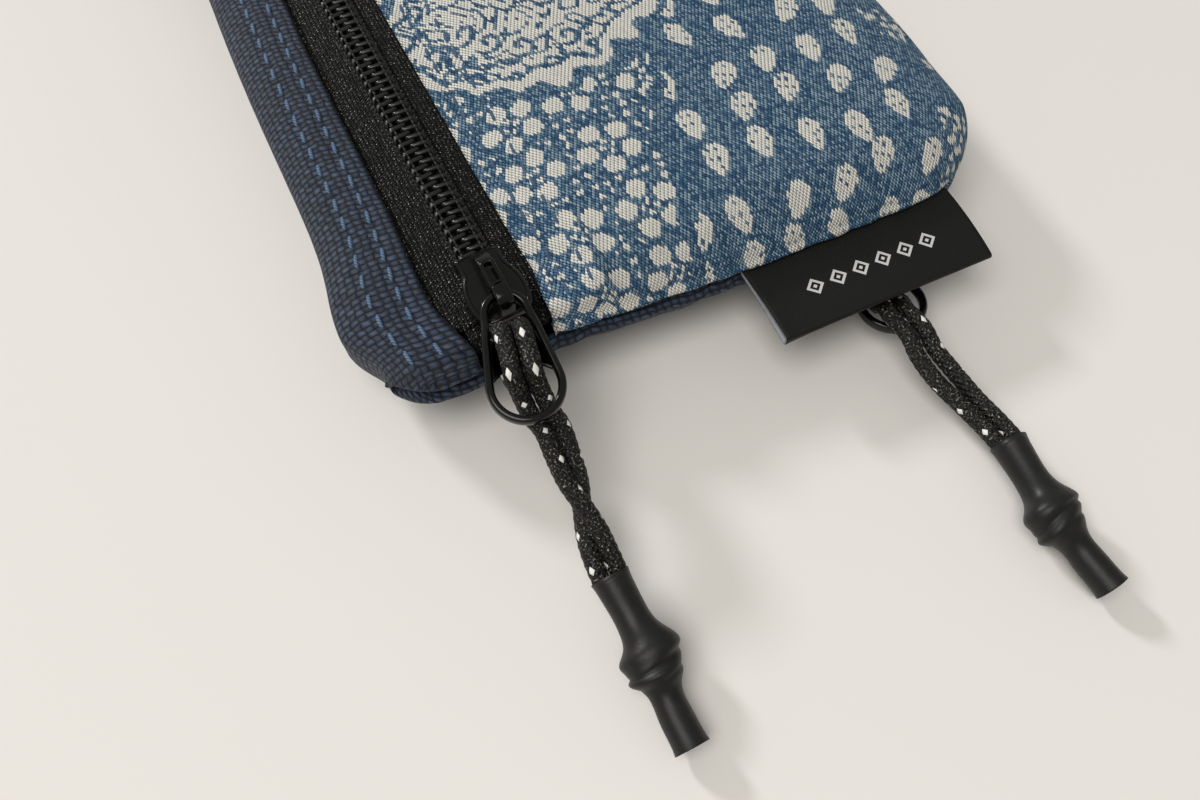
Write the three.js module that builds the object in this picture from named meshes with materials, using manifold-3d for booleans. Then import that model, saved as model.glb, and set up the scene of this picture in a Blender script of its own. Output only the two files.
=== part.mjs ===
// Flat two-compartment zip pouch, lying on its back, in millimetres, +Z up.
// X runs across the pouch, Y along its two zips (the label end is at -Y), Z is height above the table.
// A dark plain-weave panel wraps the left fold and most of the back, a patterned panel wraps the
// right fold and most of the front. One zip lies in the front near the left fold, the other in the
// back near the right fold. Each slider has a cast pull with a cord hitched on it, and the cord's
// two ends run into a knotted rubber sleeve.

import * as THREE from 'three';
import { mergeVertices } from 'three/addons/utils/BufferGeometryUtils.js';
import Module from 'manifold-3d';

// Pouch body
const POUCH_WIDTH = 86;
const POUCH_LENGTH = 119.4;
const POUCH_THICKNESS = 17.2;
const SEAM_HEIGHT = 9.8;
const SEAM_HALF_GAP = 1.8;
const FABRIC_THICKNESS = 1.0;
const SECTION_POWER = 3.4;
const END_POWER = 10;
const ZIP_END_POWER = 120;
const END_SHEAR = -0.08;
const END_BOW = 2.2;
const REST_PRESS = 1.0;
const PLAN_POWER = 9;
const CORNER_NARROWING = 0.09;
const PLY_STAGGER = 0.4;
const CLEARANCE = 0.3;
const ZIP_END_INSET = 1.7;

// Zips
const FRONT_ZIP_FROM_FOLD = 17;
const BACK_ZIP_FROM_FOLD = 20.5;
const FRONT_ZIP_X = FRONT_ZIP_FROM_FOLD - POUCH_WIDTH / 2;
const BACK_ZIP_X = POUCH_WIDTH / 2 - BACK_ZIP_FROM_FOLD;
const FRONT_COIL_TOP = 15.2;
const BACK_COIL_TOP = 5.8;
const COIL_HALF_WIDTH = 2.0;
const COIL_HEIGHT = 1.5;
const COIL_RAIL_WIDTH = 0.8;
const TOOTH_TIP = 0.5;
const TOOTH_PITCH = 1.5;
const TOOTH_LENGTH = 0.85;
const TAPE_THICKNESS = 0.6;
const TAPE_INNER = 0.6;
const TAPE_REACH = 8.4;
const NARROW_SIDE_GAP = 6.6;
const WIDE_SIDE_GAP = 5.2;
const VALLEY_BLEND = 9.0;

// Slider
const SLIDER_LENGTH = 9.8;
const SLIDER_HALF_WIDTH = 3.65;
const SLIDER_NECK_HALF_WIDTH = 2.85;
const SLIDER_PLATE = 1.1;
const FRONT_SLIDER_OVERHANG = 2.8;
const BACK_SLIDER_OVERHANG = 2.8;
const POST_WIDTH = 0.5;
const POST_LENGTH = 2.0;
const CROWN_WIDTH = 1.9;
const CROWN_HEIGHT = 3.3;
const CROWN_WALL = 0.7;
const EYE_LENGTH = 2.2;
const EYE_ROOM = 1.0;
const HOOK_LENGTH = 1.1;
const CROWN_SLOT_WIDTH = 0.8;
const CROWN_SLOT_DEPTH = 0.35;

// Pull
const PULL_LENGTH = 16.0;
const PULL_TOP_RADIUS = 3.0;
const PULL_END_RADIUS = 4.5;
const PULL_THICKNESS = 1.5;
const PULL_RIM = 1.0;
const PULL_LOOP_THICKNESS = 1.0;
const WEB_THICKNESS = 0.7;
const WEB_START = 6.0;
const WEB_LENGTH = 3.2;
const PULL_LOOP_LENGTH = 3.6;
const FRONT_PULL_DROP_DEG = 7.7;
const BACK_PULL_DROP_DEG = 6;
const FRONT_PULL_TWIST_DEG = -11;
const BACK_PULL_TWIST_DEG = 8;

// Cord and sleeve
const CORD_DIAMETER = 2.2;
const CORD_SIDES = 8;
const CORD_STEPS = 84;
const SLEEVE_DIAMETER = 4.6;
const SLEEVE_KNOT_DIAMETER = 7.2;
const SLEEVE_FLARE = 0.1;
const SLEEVE_KNOT_SPREAD = 0.15;
const SLEEVE_RINGS = 18;
const SLEEVE_SIDES = 12;

// Label
const LABEL_WIDTH = 30;
const LABEL_LEFT_X = 3.5;
const LABEL_LENGTH = 9.0;
const LABEL_PLY = 0.3;
const LABEL_SPACE = 0.35;
const LABEL_DROOP = 1.0;
const LABEL_END_GAP = 0.9;

// Compartment divider
const DIVIDER_THICKNESS = 0.4;
const DIVIDER_LOW = 9.9;
const DIVIDER_INSET = 1.7;
const DIVIDER_NARROWING = 0.985;
const DIVIDER_CORNER_POWER = 0.22;
const DIVIDER_CORNER_STEPS = 9;

// Fineness of the cloth's grid
const ACROSS_STEP = 4.5;
const ACROSS_LEAST_STEP = 0.6;
const ACROSS_FOLD_SHARE = 0.42;
const ALONG_SHARES = [0, 0.3, 0.55, 0.7, 0.8, 0.87, 0.92, 0.96, 0.985, 1];

const NAVY = new THREE.Color(0x35425c);
const PRINT_BLUE = new THREE.Color(0x5f87ad);
const BLACK_TEXTILE = new THREE.Color(0x1b1b1d);
const BLACK_METAL = new THREE.Color(0x1a1c1f);
const BLACK_RUBBER = new THREE.Color(0x2b2a2a);

const wasm = await Module();
wasm.setup();

/** Turns a closed three.js geometry into a solid that can be joined and cut. */
function toSolid(geometry) {
  const bare = geometry.clone();
  bare.deleteAttribute('normal');
  bare.deleteAttribute('uv');
  const merged = mergeVertices(bare, 1e-5);
  return new wasm.Manifold(new wasm.Mesh({
    numProp: 3,
    vertProperties: new Float32Array(merged.attributes.position.array),
    triVerts: new Uint32Array(merged.index.array),
  }));
}

/** Turns a solid back into a three.js geometry. */
function toGeometry(solid) {
  const mesh = solid.getMesh();
  const geometry = new THREE.BufferGeometry();
  geometry.setAttribute('position', new THREE.Float32BufferAttribute(mesh.vertProperties, 3));
  geometry.setIndex(Array.from(mesh.triVerts));
  return geometry;
}

/** Joins several closed geometries into one. */
function join(...geometries) {
  const solids = geometries.map(toSolid);
  return toGeometry(solids.reduce((sum, solid) => sum.add(solid)));
}

/** Cuts the later geometries out of the first one. */
function cut(base, ...tools) {
  const solids = tools.map(toSolid);
  return toGeometry(solids.reduce((rest, solid) => rest.subtract(solid), toSolid(base)));
}

/** A named mesh with its own material. */
function piece(name, geometry, color, roughness, metalness = 0) {
  geometry.computeVertexNormals();
  const mesh = new THREE.Mesh(geometry, new THREE.MeshStandardMaterial({ color, roughness, metalness }));
  mesh.name = name;
  return mesh;
}

/** A box given by its lowest and highest corners. */
function boxBetween(low, high) {
  const geometry = new THREE.BoxGeometry(high[0] - low[0], high[1] - low[1], high[2] - low[2]);
  geometry.translate((low[0] + high[0]) / 2, (low[1] + high[1]) / 2, (low[2] + high[2]) / 2);
  return geometry;
}

/** A plan outline of [x, y] points as a solid between two heights. */
function plate(points, low, high) {
  const shape = new THREE.Shape(points.map(([x, y]) => new THREE.Vector2(x, y)));
  const geometry = new THREE.ExtrudeGeometry(shape, { depth: high - low, bevelEnabled: false });
  geometry.translate(0, 0, low);
  return geometry;
}

/** A side outline of [y, z] points as a solid between two places along X. */
function slab(points, low, high) {
  const geometry = plate(points, low, high);
  const turn = new THREE.Matrix4().makeBasis(
    new THREE.Vector3(0, 1, 0),
    new THREE.Vector3(0, 0, 1),
    new THREE.Vector3(1, 0, 0),
  );
  geometry.applyMatrix4(turn);
  return geometry;
}

/** A closed sheet between two point grids with the same rows and columns. */
function sheetBetween(outer, inner) {
  const rows = outer.length;
  const columns = outer[0].length;
  const positions = [...outer.flat(), ...inner.flat()].flat();
  const triangles = [];
  const index = (side, row, column) => side * rows * columns + row * columns + column;
  const quad = (a, b, c, d) => triangles.push(a, b, c, a, c, d);
  for (let row = 0; row < rows - 1; row += 1) {
    for (let column = 0; column < columns - 1; column += 1) {
      const corners = [[row, column], [row + 1, column], [row + 1, column + 1], [row, column + 1]];
      quad(...corners.map(([r, c]) => index(0, r, c)));
      quad(...corners.reverse().map(([r, c]) => index(1, r, c)));
    }
  }
  for (let row = 0; row < rows - 1; row += 1) {
    quad(index(0, row, 0), index(1, row, 0), index(1, row + 1, 0), index(0, row + 1, 0));
    const last = columns - 1;
    quad(index(0, row + 1, last), index(1, row + 1, last), index(1, row, last), index(0, row, last));
  }
  for (let column = 0; column < columns - 1; column += 1) {
    quad(index(0, 0, column + 1), index(1, 0, column + 1), index(1, 0, column), index(0, 0, column));
    const last = rows - 1;
    const next = column + 1;
    quad(index(0, last, column), index(1, last, column), index(1, last, next), index(0, last, next));
  }
  const geometry = new THREE.BufferGeometry();
  geometry.setAttribute('position', new THREE.Float32BufferAttribute(positions, 3));
  geometry.setIndex(triangles);
  return geometry;
}

/** 0 below the first value, 1 above the second, smooth between them. */
function smooth(from, to, value) {
  const share = THREE.MathUtils.clamp((value - from) / (to - from), 0, 1);
  return share * share * (3 - 2 * share);
}

/** The share, from 0 to 1, by which a zip draws the cloth at x into its valley. */
function valleyShare(x, zipX, lowGap, highGap) {
  const beyond = Math.max(zipX - lowGap - x, x - zipX - highGap, 0);
  return 1 - smooth(0, VALLEY_BLEND, beyond);
}

/** How far a section bulges at x, as a share of its full height. */
function sectionShare(x, width) {
  return Math.sqrt(Math.max(0, 1 - Math.abs((2 * x) / width) ** SECTION_POWER));
}

/** How far a section bulges at a share of the half length. */
function endShare(along, power) {
  return Math.sqrt(Math.max(0, 1 - Math.abs(along) ** power));
}

/** Height of the front cloth, outside or inside by its thickness. */
function frontHeight(x, along, depth) {
  const width = POUCH_WIDTH - 2 * depth;
  const crown = POUCH_THICKNESS - SEAM_HEIGHT - SEAM_HALF_GAP;
  const lip = FRONT_COIL_TOP - COIL_HEIGHT + FABRIC_THICKNESS - SEAM_HEIGHT - SEAM_HALF_GAP;
  const draw = valleyShare(x, FRONT_ZIP_X, NARROW_SIDE_GAP, WIDE_SIDE_GAP);
  const bulge = THREE.MathUtils.lerp(crown * sectionShare(x, width), lip, draw);
  const power = THREE.MathUtils.lerp(END_POWER, ZIP_END_POWER, smooth(0, 0.5, draw));
  return SEAM_HEIGHT + SEAM_HALF_GAP - depth + bulge * endShare(along, power);
}

/** Height of the back cloth, outside or inside by its thickness; it lies flat on the table. */
function backHeight(x, along, depth) {
  const width = POUCH_WIDTH - 2 * depth;
  const crown = SEAM_HEIGHT - SEAM_HALF_GAP + REST_PRESS;
  const lip = SEAM_HEIGHT - SEAM_HALF_GAP - (BACK_COIL_TOP + COIL_HEIGHT - FABRIC_THICKNESS);
  const draw = valleyShare(x, BACK_ZIP_X, WIDE_SIDE_GAP, NARROW_SIDE_GAP);
  const bulge = THREE.MathUtils.lerp(crown * sectionShare(x, width), lip, draw);
  const power = THREE.MathUtils.lerp(END_POWER, ZIP_END_POWER, smooth(0, 0.5, draw));
  const height = SEAM_HEIGHT - SEAM_HALF_GAP + depth - bulge * endShare(along, power);
  return Math.max(depth, height);
}

/** Half length of the pouch at x, where its corners are drawn in. */
function halfLength(x) {
  return POUCH_LENGTH / 2 - END_BOW * ((2 * x) / POUCH_WIDTH) ** 2;
}

/** One point of the pouch's cloth. side is 1 on the front, -1 on the back, 0 on a fold. */
function clothPoint(x, side, along, depth) {
  const narrowing = 1 - CORNER_NARROWING * Math.abs(along) ** PLAN_POWER;
  const reach = POUCH_WIDTH / 2 - depth;
  const across = Math.sign(x) * Math.min(Math.abs(x), reach) * narrowing;
  const y = along * (halfLength(x) - depth * PLY_STAGGER) + END_SHEAR * x;
  const height = side > 0 ? frontHeight(x, along, depth) : backHeight(x, along, depth);
  return [across, y, side === 0 ? SEAM_HEIGHT : height];
}

/** Places across the cloth from one x to another, closer together near the folds. */
function acrossSteps(from, to) {
  const steps = [from];
  const direction = Math.sign(to - from);
  let x = from;
  while (Math.abs(to - x) > ACROSS_STEP * 1.2) {
    const nearFold = (POUCH_WIDTH / 2 - Math.abs(x)) * ACROSS_FOLD_SHARE;
    x += direction * Math.min(ACROSS_STEP, Math.max(nearFold, ACROSS_LEAST_STEP));
    steps.push(x);
  }
  steps.push(to);
  return steps;
}

/** Shares of the half length, closer together near the two ends. */
function alongSteps() {
  return [...ALONG_SHARES.slice(1).reverse().map((share) => -share), ...ALONG_SHARES];
}

/** The [x, side] places of a panel that runs over the front, round one fold and over the back. */
function panelRoute(frontX, foldSign, backX) {
  const fold = (foldSign * POUCH_WIDTH) / 2;
  const front = acrossSteps(frontX, fold).map((x) => [x, 1]);
  const back = acrossSteps(backX, fold).map((x) => [x, -1]).reverse();
  return [...front, ...back];
}

/** A cloth panel with its wall thickness. */
function panel(frontX, foldSign, backX) {
  const route = panelRoute(frontX, foldSign, backX);
  const along = alongSteps();
  const layer = (depth) => route.map(([x, side]) => along.map((share) => clothPoint(x, side, share, depth)));
  const outer = layer(0);
  const inner = layer(FABRIC_THICKNESS);
  return foldSign < 0 ? sheetBetween(inner, outer) : sheetBetween(outer, inner);
}

/** The lining sheet between the two compartments. */
function divider() {
  const outline = [];
  for (const [signX, signY] of [[1, -1], [1, 1], [-1, 1], [-1, -1]]) {
    for (let step = 0; step <= DIVIDER_CORNER_STEPS; step += 1) {
      const share = signX === signY ? step / DIVIDER_CORNER_STEPS : 1 - step / DIVIDER_CORNER_STEPS;
      const angle = (share * Math.PI) / 2;
      const x = signX * (POUCH_WIDTH / 2 - DIVIDER_INSET) * Math.cos(angle) ** DIVIDER_CORNER_POWER;
      const y = signY * (halfLength(x) - DIVIDER_INSET) * Math.sin(angle) ** DIVIDER_CORNER_POWER;
      outline.push([x * DIVIDER_NARROWING, y + END_SHEAR * x]);
    }
  }
  return plate(outline, DIVIDER_LOW, DIVIDER_LOW + DIVIDER_THICKNESS);
}

/** Half length of a zip that lies at x. */
function zipHalfLength(x) {
  return halfLength(Math.abs(x) + TAPE_REACH) - Math.abs(END_SHEAR) * TAPE_REACH - ZIP_END_INSET;
}

/** One zip tape. sideSign is 1 on the +X side. */
function zipTape(zipX, sideSign) {
  const half = zipHalfLength(zipX);
  const top = -COIL_HEIGHT - CLEARANCE;
  const near = sideSign * TAPE_INNER;
  const far = sideSign * TAPE_REACH;
  const low = [Math.min(near, far), -half, top - TAPE_THICKNESS];
  return boxBetween(low, [Math.max(near, far), half, top]);
}

/** One row of coil teeth on its rail. sideSign is 1 on the +X side. */
function coilRow(zipX, sideSign) {
  const half = zipHalfLength(zipX) - TAPE_THICKNESS;
  const root = sideSign * (COIL_HALF_WIDTH - COIL_RAIL_WIDTH);
  const tip = sideSign * TOOTH_TIP;
  const offset = sideSign > 0 ? 0 : TOOTH_PITCH / 2;
  const count = Math.floor((2 * half - TOOTH_PITCH) / TOOTH_PITCH);
  const outline = [[sideSign * COIL_HALF_WIDTH, half], [sideSign * COIL_HALF_WIDTH, -half], [root, -half]];
  for (let tooth = 0; tooth < count; tooth += 1) {
    const start = -half + offset + CLEARANCE + tooth * TOOTH_PITCH;
    outline.push([root, start], [tip, start], [tip, start + TOOTH_LENGTH], [root, start + TOOTH_LENGTH]);
  }
  outline.push([root, half]);
  return plate(outline, -COIL_HEIGHT, 0);
}

/** Plan outline of the slider's plates, wide at the -Y end and waisted towards the neck. */
function sliderOutline() {
  const half = SLIDER_LENGTH / 2;
  const right = [
    [SLIDER_NECK_HALF_WIDTH, half], [SLIDER_NECK_HALF_WIDTH, half * 0.6],
    [SLIDER_HALF_WIDTH * 0.9, half * 0.25], [SLIDER_HALF_WIDTH, -half * 0.1],
    [SLIDER_HALF_WIDTH, -half * 0.45], [SLIDER_HALF_WIDTH * 0.86, -half * 0.8],
    [SLIDER_HALF_WIDTH * 0.6, -half],
  ];
  const left = right.map(([x, y]) => [-x, y]).reverse();
  return [...right, ...left];
}

/** Place of the pull's axis, counted from the slider's middle, as [y, z]. */
function eyeCentre() {
  const y = -SLIDER_LENGTH / 2 + HOOK_LENGTH + EYE_LENGTH / 2;
  const floor = CLEARANCE + SLIDER_PLATE;
  return [y, floor + CROWN_HEIGHT - CROWN_WALL - EYE_ROOM];
}

/** The cast slider, its middle at y = 0 and the coil's top at z = 0. */
function slider() {
  const outline = sliderOutline();
  const flangeLow = -COIL_HEIGHT;
  const topFace = CLEARANCE + SLIDER_PLATE;
  const channel = COIL_HALF_WIDTH + CLEARANCE;
  const cap = plate(outline, flangeLow, topFace);
  const groove = boxBetween([-channel, -SLIDER_LENGTH, flangeLow - 1], [channel, SLIDER_LENGTH, CLEARANCE]);
  const baseTop = -COIL_HEIGHT - TAPE_THICKNESS - 2 * CLEARANCE;
  const base = plate(outline, baseTop - SLIDER_PLATE, baseTop);
  const postEnd = -SLIDER_LENGTH / 2 + POST_WIDTH;
  const post = boxBetween(
    [-POST_WIDTH / 2, postEnd, baseTop - SLIDER_PLATE / 2],
    [POST_WIDTH / 2, postEnd + POST_LENGTH, CLEARANCE + SLIDER_PLATE / 2],
  );
  const half = SLIDER_LENGTH / 2;
  const top = topFace + CROWN_HEIGHT;
  const sunk = topFace - SLIDER_PLATE / 2;
  const crown = slab([
    [half - 0.3, sunk], [half - 0.3, topFace + 0.3], [half * 0.35, top], [-half + 1.0, top],
    [-half + 0.2, top - 0.8], [-half, topFace + 0.6], [-half + 0.2, sunk],
  ], -CROWN_WIDTH / 2, CROWN_WIDTH / 2);
  const [eyeY] = eyeCentre();
  const eye = boxBetween(
    [-CROWN_WIDTH, eyeY - EYE_LENGTH / 2, topFace],
    [CROWN_WIDTH, eyeY + EYE_LENGTH / 2, top - CROWN_WALL],
  );
  const slot = boxBetween(
    [-CROWN_SLOT_WIDTH / 2, -half * 0.35, top - CROWN_SLOT_DEPTH],
    [CROWN_SLOT_WIDTH / 2, half * 0.3, top + 1],
  );
  return join(cut(cap, groove), base, post, cut(crown, eye, slot));
}

/** Outline round a small circle at the loop end and a larger one at the free end. */
function pullOutline(inset) {
  const small = PULL_TOP_RADIUS - inset;
  const large = PULL_END_RADIUS - inset;
  const smallAt = PULL_TOP_RADIUS - PULL_RIM / 2;
  const largeAt = PULL_LENGTH - PULL_END_RADIUS;
  const lean = Math.asin((large - small) / (largeAt - smallAt));
  const points = [];
  const steps = 9;
  for (let step = 0; step <= steps; step += 1) {
    const angle = -lean + (step / steps) * (Math.PI + 2 * lean);
    points.push([large * Math.cos(angle), -(largeAt + large * Math.sin(angle))]);
  }
  for (let step = 0; step <= steps; step += 1) {
    const angle = Math.PI + lean + (step / steps) * (Math.PI - 2 * lean);
    points.push([small * Math.cos(angle), -(smallAt + small * Math.sin(angle))]);
  }
  return points.reverse();
}

/** The cast pull, its loop round the X axis and its free end towards -Y. */
function pull() {
  const halfRim = PULL_THICKNESS / 2;
  const rim = cut(
    plate(pullOutline(0), -halfRim, halfRim),
    plate(pullOutline(PULL_RIM), -PULL_THICKNESS, PULL_THICKNESS),
  );
  const loopEnd = -PULL_LOOP_LENGTH;
  const wide = PULL_END_RADIUS;
  const thin = PULL_LOOP_THICKNESS / 2;
  const upperCut = boxBetween([-wide, loopEnd, thin], [wide, PULL_RIM, PULL_THICKNESS]);
  const lowerCut = boxBetween([-wide, loopEnd, -PULL_THICKNESS], [wide, PULL_RIM, -thin]);
  const halfWeb = WEB_THICKNESS / 2;
  const web = cut(
    plate(pullOutline(PULL_RIM / 2), -halfWeb, halfWeb),
    boxBetween([-wide, -WEB_START, -1], [wide, PULL_LENGTH, 1]),
    boxBetween([-wide, -2 * PULL_LENGTH, -1], [wide, -WEB_START - WEB_LENGTH, 1]),
  );
  return join(cut(rim, upperCut, lowerCut), web);
}

/** The cord's round section. */
function cordSection() {
  const points = [];
  for (let side = 0; side < CORD_SIDES; side += 1) {
    const angle = (side / CORD_SIDES) * 2 * Math.PI;
    points.push(new THREE.Vector2(Math.cos(angle), Math.sin(angle)).multiplyScalar(CORD_DIAMETER / 2));
  }
  return new THREE.Shape(points);
}

/** A round cord along a list of points. */
function cordAlong(points) {
  const path = new THREE.CatmullRomCurve3(points, false, 'centripetal');
  const settings = { steps: CORD_STEPS, bevelEnabled: false, extrudePath: path };
  return new THREE.ExtrudeGeometry(cordSection(), settings);
}

/** A solid sleeve along a list of points, with a knot swelling in its middle and flared ends. */
function sleeveAlong(points) {
  const path = new THREE.CatmullRomCurve3(points, false, 'centripetal');
  const rings = SLEEVE_RINGS;
  const sides = SLEEVE_SIDES;
  const swelling = (SLEEVE_KNOT_DIAMETER - SLEEVE_DIAMETER) / 2;
  const frames = path.computeFrenetFrames(rings, false);
  const positions = [];
  const triangles = [];
  for (let ring = 0; ring <= rings; ring += 1) {
    const share = ring / rings;
    const centre = path.getPointAt(share);
    const knot = Math.exp(-(((share - 0.5) / SLEEVE_KNOT_SPREAD) ** 2));
    const flare = SLEEVE_FLARE * Math.abs(2 * share - 1) ** 8;
    const radius = SLEEVE_DIAMETER / 2 + knot * swelling + flare;
    for (let side = 0; side < sides; side += 1) {
      const angle = (side / sides) * 2 * Math.PI;
      const point = centre.clone()
        .addScaledVector(frames.normals[ring], radius * Math.cos(angle))
        .addScaledVector(frames.binormals[ring], radius * Math.sin(angle));
      positions.push(point.x, point.y, Math.max(point.z, 0));
    }
  }
  for (let ring = 0; ring < rings; ring += 1) {
    for (let side = 0; side < sides; side += 1) {
      const a = ring * sides + side;
      const b = ring * sides + ((side + 1) % sides);
      triangles.push(a, b, b + sides, a, b + sides, a + sides);
    }
  }
  for (let side = 1; side < sides - 1; side += 1) {
    triangles.push(0, side + 1, side);
    const last = rings * sides;
    triangles.push(last, last + side, last + side + 1);
  }
  const geometry = new THREE.BufferGeometry();
  geometry.setAttribute('position', new THREE.Float32BufferAttribute(positions, 3));
  geometry.setIndex(triangles);
  return geometry;
}

/** The folded label: two plies joined by a rounded free edge, seen from its side. */
function label() {
  const middleX = LABEL_LEFT_X + LABEL_WIDTH / 2;
  const rootY = END_SHEAR * middleX - halfLength(middleX) - LABEL_END_GAP;
  const half = LABEL_SPACE / 2 + LABEL_PLY;
  const lift = (share) => SEAM_HEIGHT - LABEL_DROOP * share * share;
  const shares = [0, 0.25, 0.5, 0.75, 0.93];
  const rail = (offset) => shares.map((share) => [rootY - LABEL_LENGTH * share, lift(share) + offset]);
  const outline = [
    ...rail(half),
    [rootY - LABEL_LENGTH, lift(1)],
    ...rail(-half).reverse(),
    ...rail(-LABEL_SPACE / 2),
    ...rail(LABEL_SPACE / 2).reverse(),
  ];
  return slab(outline, LABEL_LEFT_X, LABEL_LEFT_X + LABEL_WIDTH);
}

/** Where a zip's slider stands when the zip is closed, counted from the zip's middle. */
function parkedSlider(zipX, overhang) {
  return SLIDER_LENGTH / 2 - overhang - zipHalfLength(zipX);
}

/**
 * The route through the hitch on one side of the pull, as [x, outward, along, lean] in the pull's own frame.
 * x changes its sign with the side, and lean moves both sides the same way.
 */
const HITCH_ROUTE = [
  [1.15, -2.2, 14.3, 1.0], [1.15, -1.45, 12.8, 0.6], [1.15, -0.1, 11.4, 0.2], [1.15, 1.2, 10.3, 0],
  [1.15, 1.55, 9.0, 0], [1.15, 1.55, 7.5, 0], [1.15, 1.55, 6.2, 0], [1.15, 1.1, 5.0, 0],
  [1.15, 0, 4.45, 0], [1.15, -1.1, 5.0, 0], [1.15, -1.55, 6.2, 0], [1.15, -1.6, 7.5, 0],
  [1.2, -1.95, 9.0, 0], [0.85, -2.45, 10.2, 0], [0, -2.6, 10.6, 0],
];

/** Free strands from the sleeve's mouth to the pull's rim, counted from the zip and the pouch's end. */
const FRONT_STRANDS = [
  [[-1.15, -26.8, 5.9], [-1.05, -24.3, 7.1], [-1.35, -21.6, 8.7], [-1.9, -18.7, 10.2], [-2.45, -16.0, 11.0],
    [-2.45, -13.0, 11.7], [-2.3, -10.0, 12.7]],
  [[-3.45, -26.8, 5.9], [-3.4, -24.3, 6.7], [-2.85, -21.6, 7.2], [-1.85, -18.7, 7.75], [-0.75, -16.0, 9.2],
    [-0.2, -13.0, 10.8], [-0.05, -10.0, 12.3]],
];
const BACK_STRANDS = [
  [[1.15, -33.1, 3.7], [0.85, -30.0, 3.7], [0.15, -26.4, 3.9], [-0.6, -22.3, 4.5], [-1.3, -18.6, 5.4],
    [-1.35, -15.9, 6.3]],
  [[-1.15, -33.1, 3.7], [-1.55, -30.0, 3.7], [-2.3, -26.4, 3.9], [-3.3, -22.3, 4.5], [-3.8, -18.6, 5.4],
    [-3.7, -15.9, 6.3]],
];
const FRONT_SLEEVE = [[-2.3, -27.1, 5.8], [-2.1, -31.9, 4.7], [-2.2, -36.8, 3.9], [-2.6, -41.7, 2.9],
  [-2.6, -46.3, 2.4]];
const BACK_SLEEVE = [[0, -33.6, 3.6], [-0.5, -38.4, 3.7], [-0.9, -43.2, 3.75], [-0.4, -48.1, 2.9],
  [0.2, -52.8, 2.4]];

/** Points counted from the zip and the pouch's end, in the pouch's frame. */
function placed(points, zipX) {
  return points.map(([x, y, z]) => new THREE.Vector3(zipX + x, y - POUCH_LENGTH / 2, z));
}

/** Both strands and the hitch between them as one route, from sleeve to sleeve. */
function cordRoute(strands, zipX, pullFrame) {
  const hitch = (sideSign) => HITCH_ROUTE.map(([x, outward, along, lean]) => {
    const point = new THREE.Vector3(sideSign * x + lean, -along, outward);
    return point.applyMatrix4(pullFrame);
  });
  const free = (list) => placed(list, zipX);
  const first = [...free(strands[0]), ...hitch(-1)];
  const second = [...free(strands[1]), ...hitch(1)];
  return [...first, ...second.slice(0, -1).reverse()];
}

/** A zip with its slider, pull, cord and sleeve. turned is true for the one in the back. */
function zip(prefix, place) {
  const { zipX, coilTop, turned, overhang, pullDrop, pullTwist, strands, sleeve } = place;
  const unit = new THREE.Group();
  unit.position.set(zipX, END_SHEAR * zipX, coilTop);
  unit.rotation.y = turned ? Math.PI : 0;
  for (const [side, sideSign] of [['left', -1], ['right', 1]]) {
    unit.add(piece(`${prefix}_zip_tape_${side}`, zipTape(zipX, sideSign), BLACK_TEXTILE, 0.9));
    unit.add(piece(`${prefix}_zip_coil_${side}`, coilRow(zipX, sideSign), BLACK_TEXTILE, 0.45));
  }
  const carriage = new THREE.Group();
  carriage.position.y = parkedSlider(zipX, overhang);
  carriage.add(piece(`${prefix}_slider`, slider(), BLACK_METAL, 0.3, 0.6));
  const hinge = new THREE.Group();
  const [eyeY, eyeZ] = eyeCentre();
  hinge.position.set(0, eyeY, eyeZ);
  hinge.rotation.x = THREE.MathUtils.degToRad(pullDrop);
  const twist = new THREE.Group();
  twist.rotation.z = THREE.MathUtils.degToRad(pullTwist);
  twist.add(piece(`${prefix}_pull`, pull(), BLACK_METAL, 0.35, 0.6));
  hinge.add(twist);
  carriage.add(hinge);
  unit.add(carriage);
  unit.updateMatrixWorld(true);
  const group = new THREE.Group();
  group.add(unit);
  const route = cordRoute(strands, zipX, twist.matrixWorld);
  group.add(piece(`${prefix}_cord`, cordAlong(route), BLACK_TEXTILE, 0.8));
  const sleeveRoute = placed(sleeve, zipX);
  group.add(piece(`${prefix}_cord_sleeve`, sleeveAlong(sleeveRoute), BLACK_RUBBER, 0.7));
  return group;
}

const pouch = new THREE.Group();
const navyCloth = panel(FRONT_ZIP_X - NARROW_SIDE_GAP, -1, BACK_ZIP_X - WIDE_SIDE_GAP);
const printCloth = panel(FRONT_ZIP_X + WIDE_SIDE_GAP, 1, BACK_ZIP_X + NARROW_SIDE_GAP);
pouch.add(piece('navy_panel', navyCloth, NAVY, 0.9));
pouch.add(piece('print_panel', printCloth, PRINT_BLUE, 0.9));
pouch.add(piece('divider_lining', divider(), BLACK_TEXTILE, 0.8));
pouch.add(piece('end_label', label(), BLACK_TEXTILE, 0.5));
pouch.add(zip('front', {
  zipX: FRONT_ZIP_X,
  coilTop: FRONT_COIL_TOP,
  turned: false,
  overhang: FRONT_SLIDER_OVERHANG,
  pullDrop: FRONT_PULL_DROP_DEG,
  pullTwist: FRONT_PULL_TWIST_DEG,
  strands: FRONT_STRANDS,
  sleeve: FRONT_SLEEVE,
}));
pouch.add(zip('back', {
  zipX: BACK_ZIP_X,
  coilTop: BACK_COIL_TOP,
  turned: true,
  overhang: BACK_SLIDER_OVERHANG,
  pullDrop: BACK_PULL_DROP_DEG,
  pullTwist: BACK_PULL_TWIST_DEG,
  strands: BACK_STRANDS,
  sleeve: BACK_SLEEVE,
}));

export default pouch;
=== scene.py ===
"""Looks of a flat two-compartment zip pouch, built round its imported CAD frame.

Sizes are in millimetres and become metres where a mesh is made. X runs across the pouch, Y along
its zips with the labelled end at -Y, and Z is the height above the table.
"""

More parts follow.
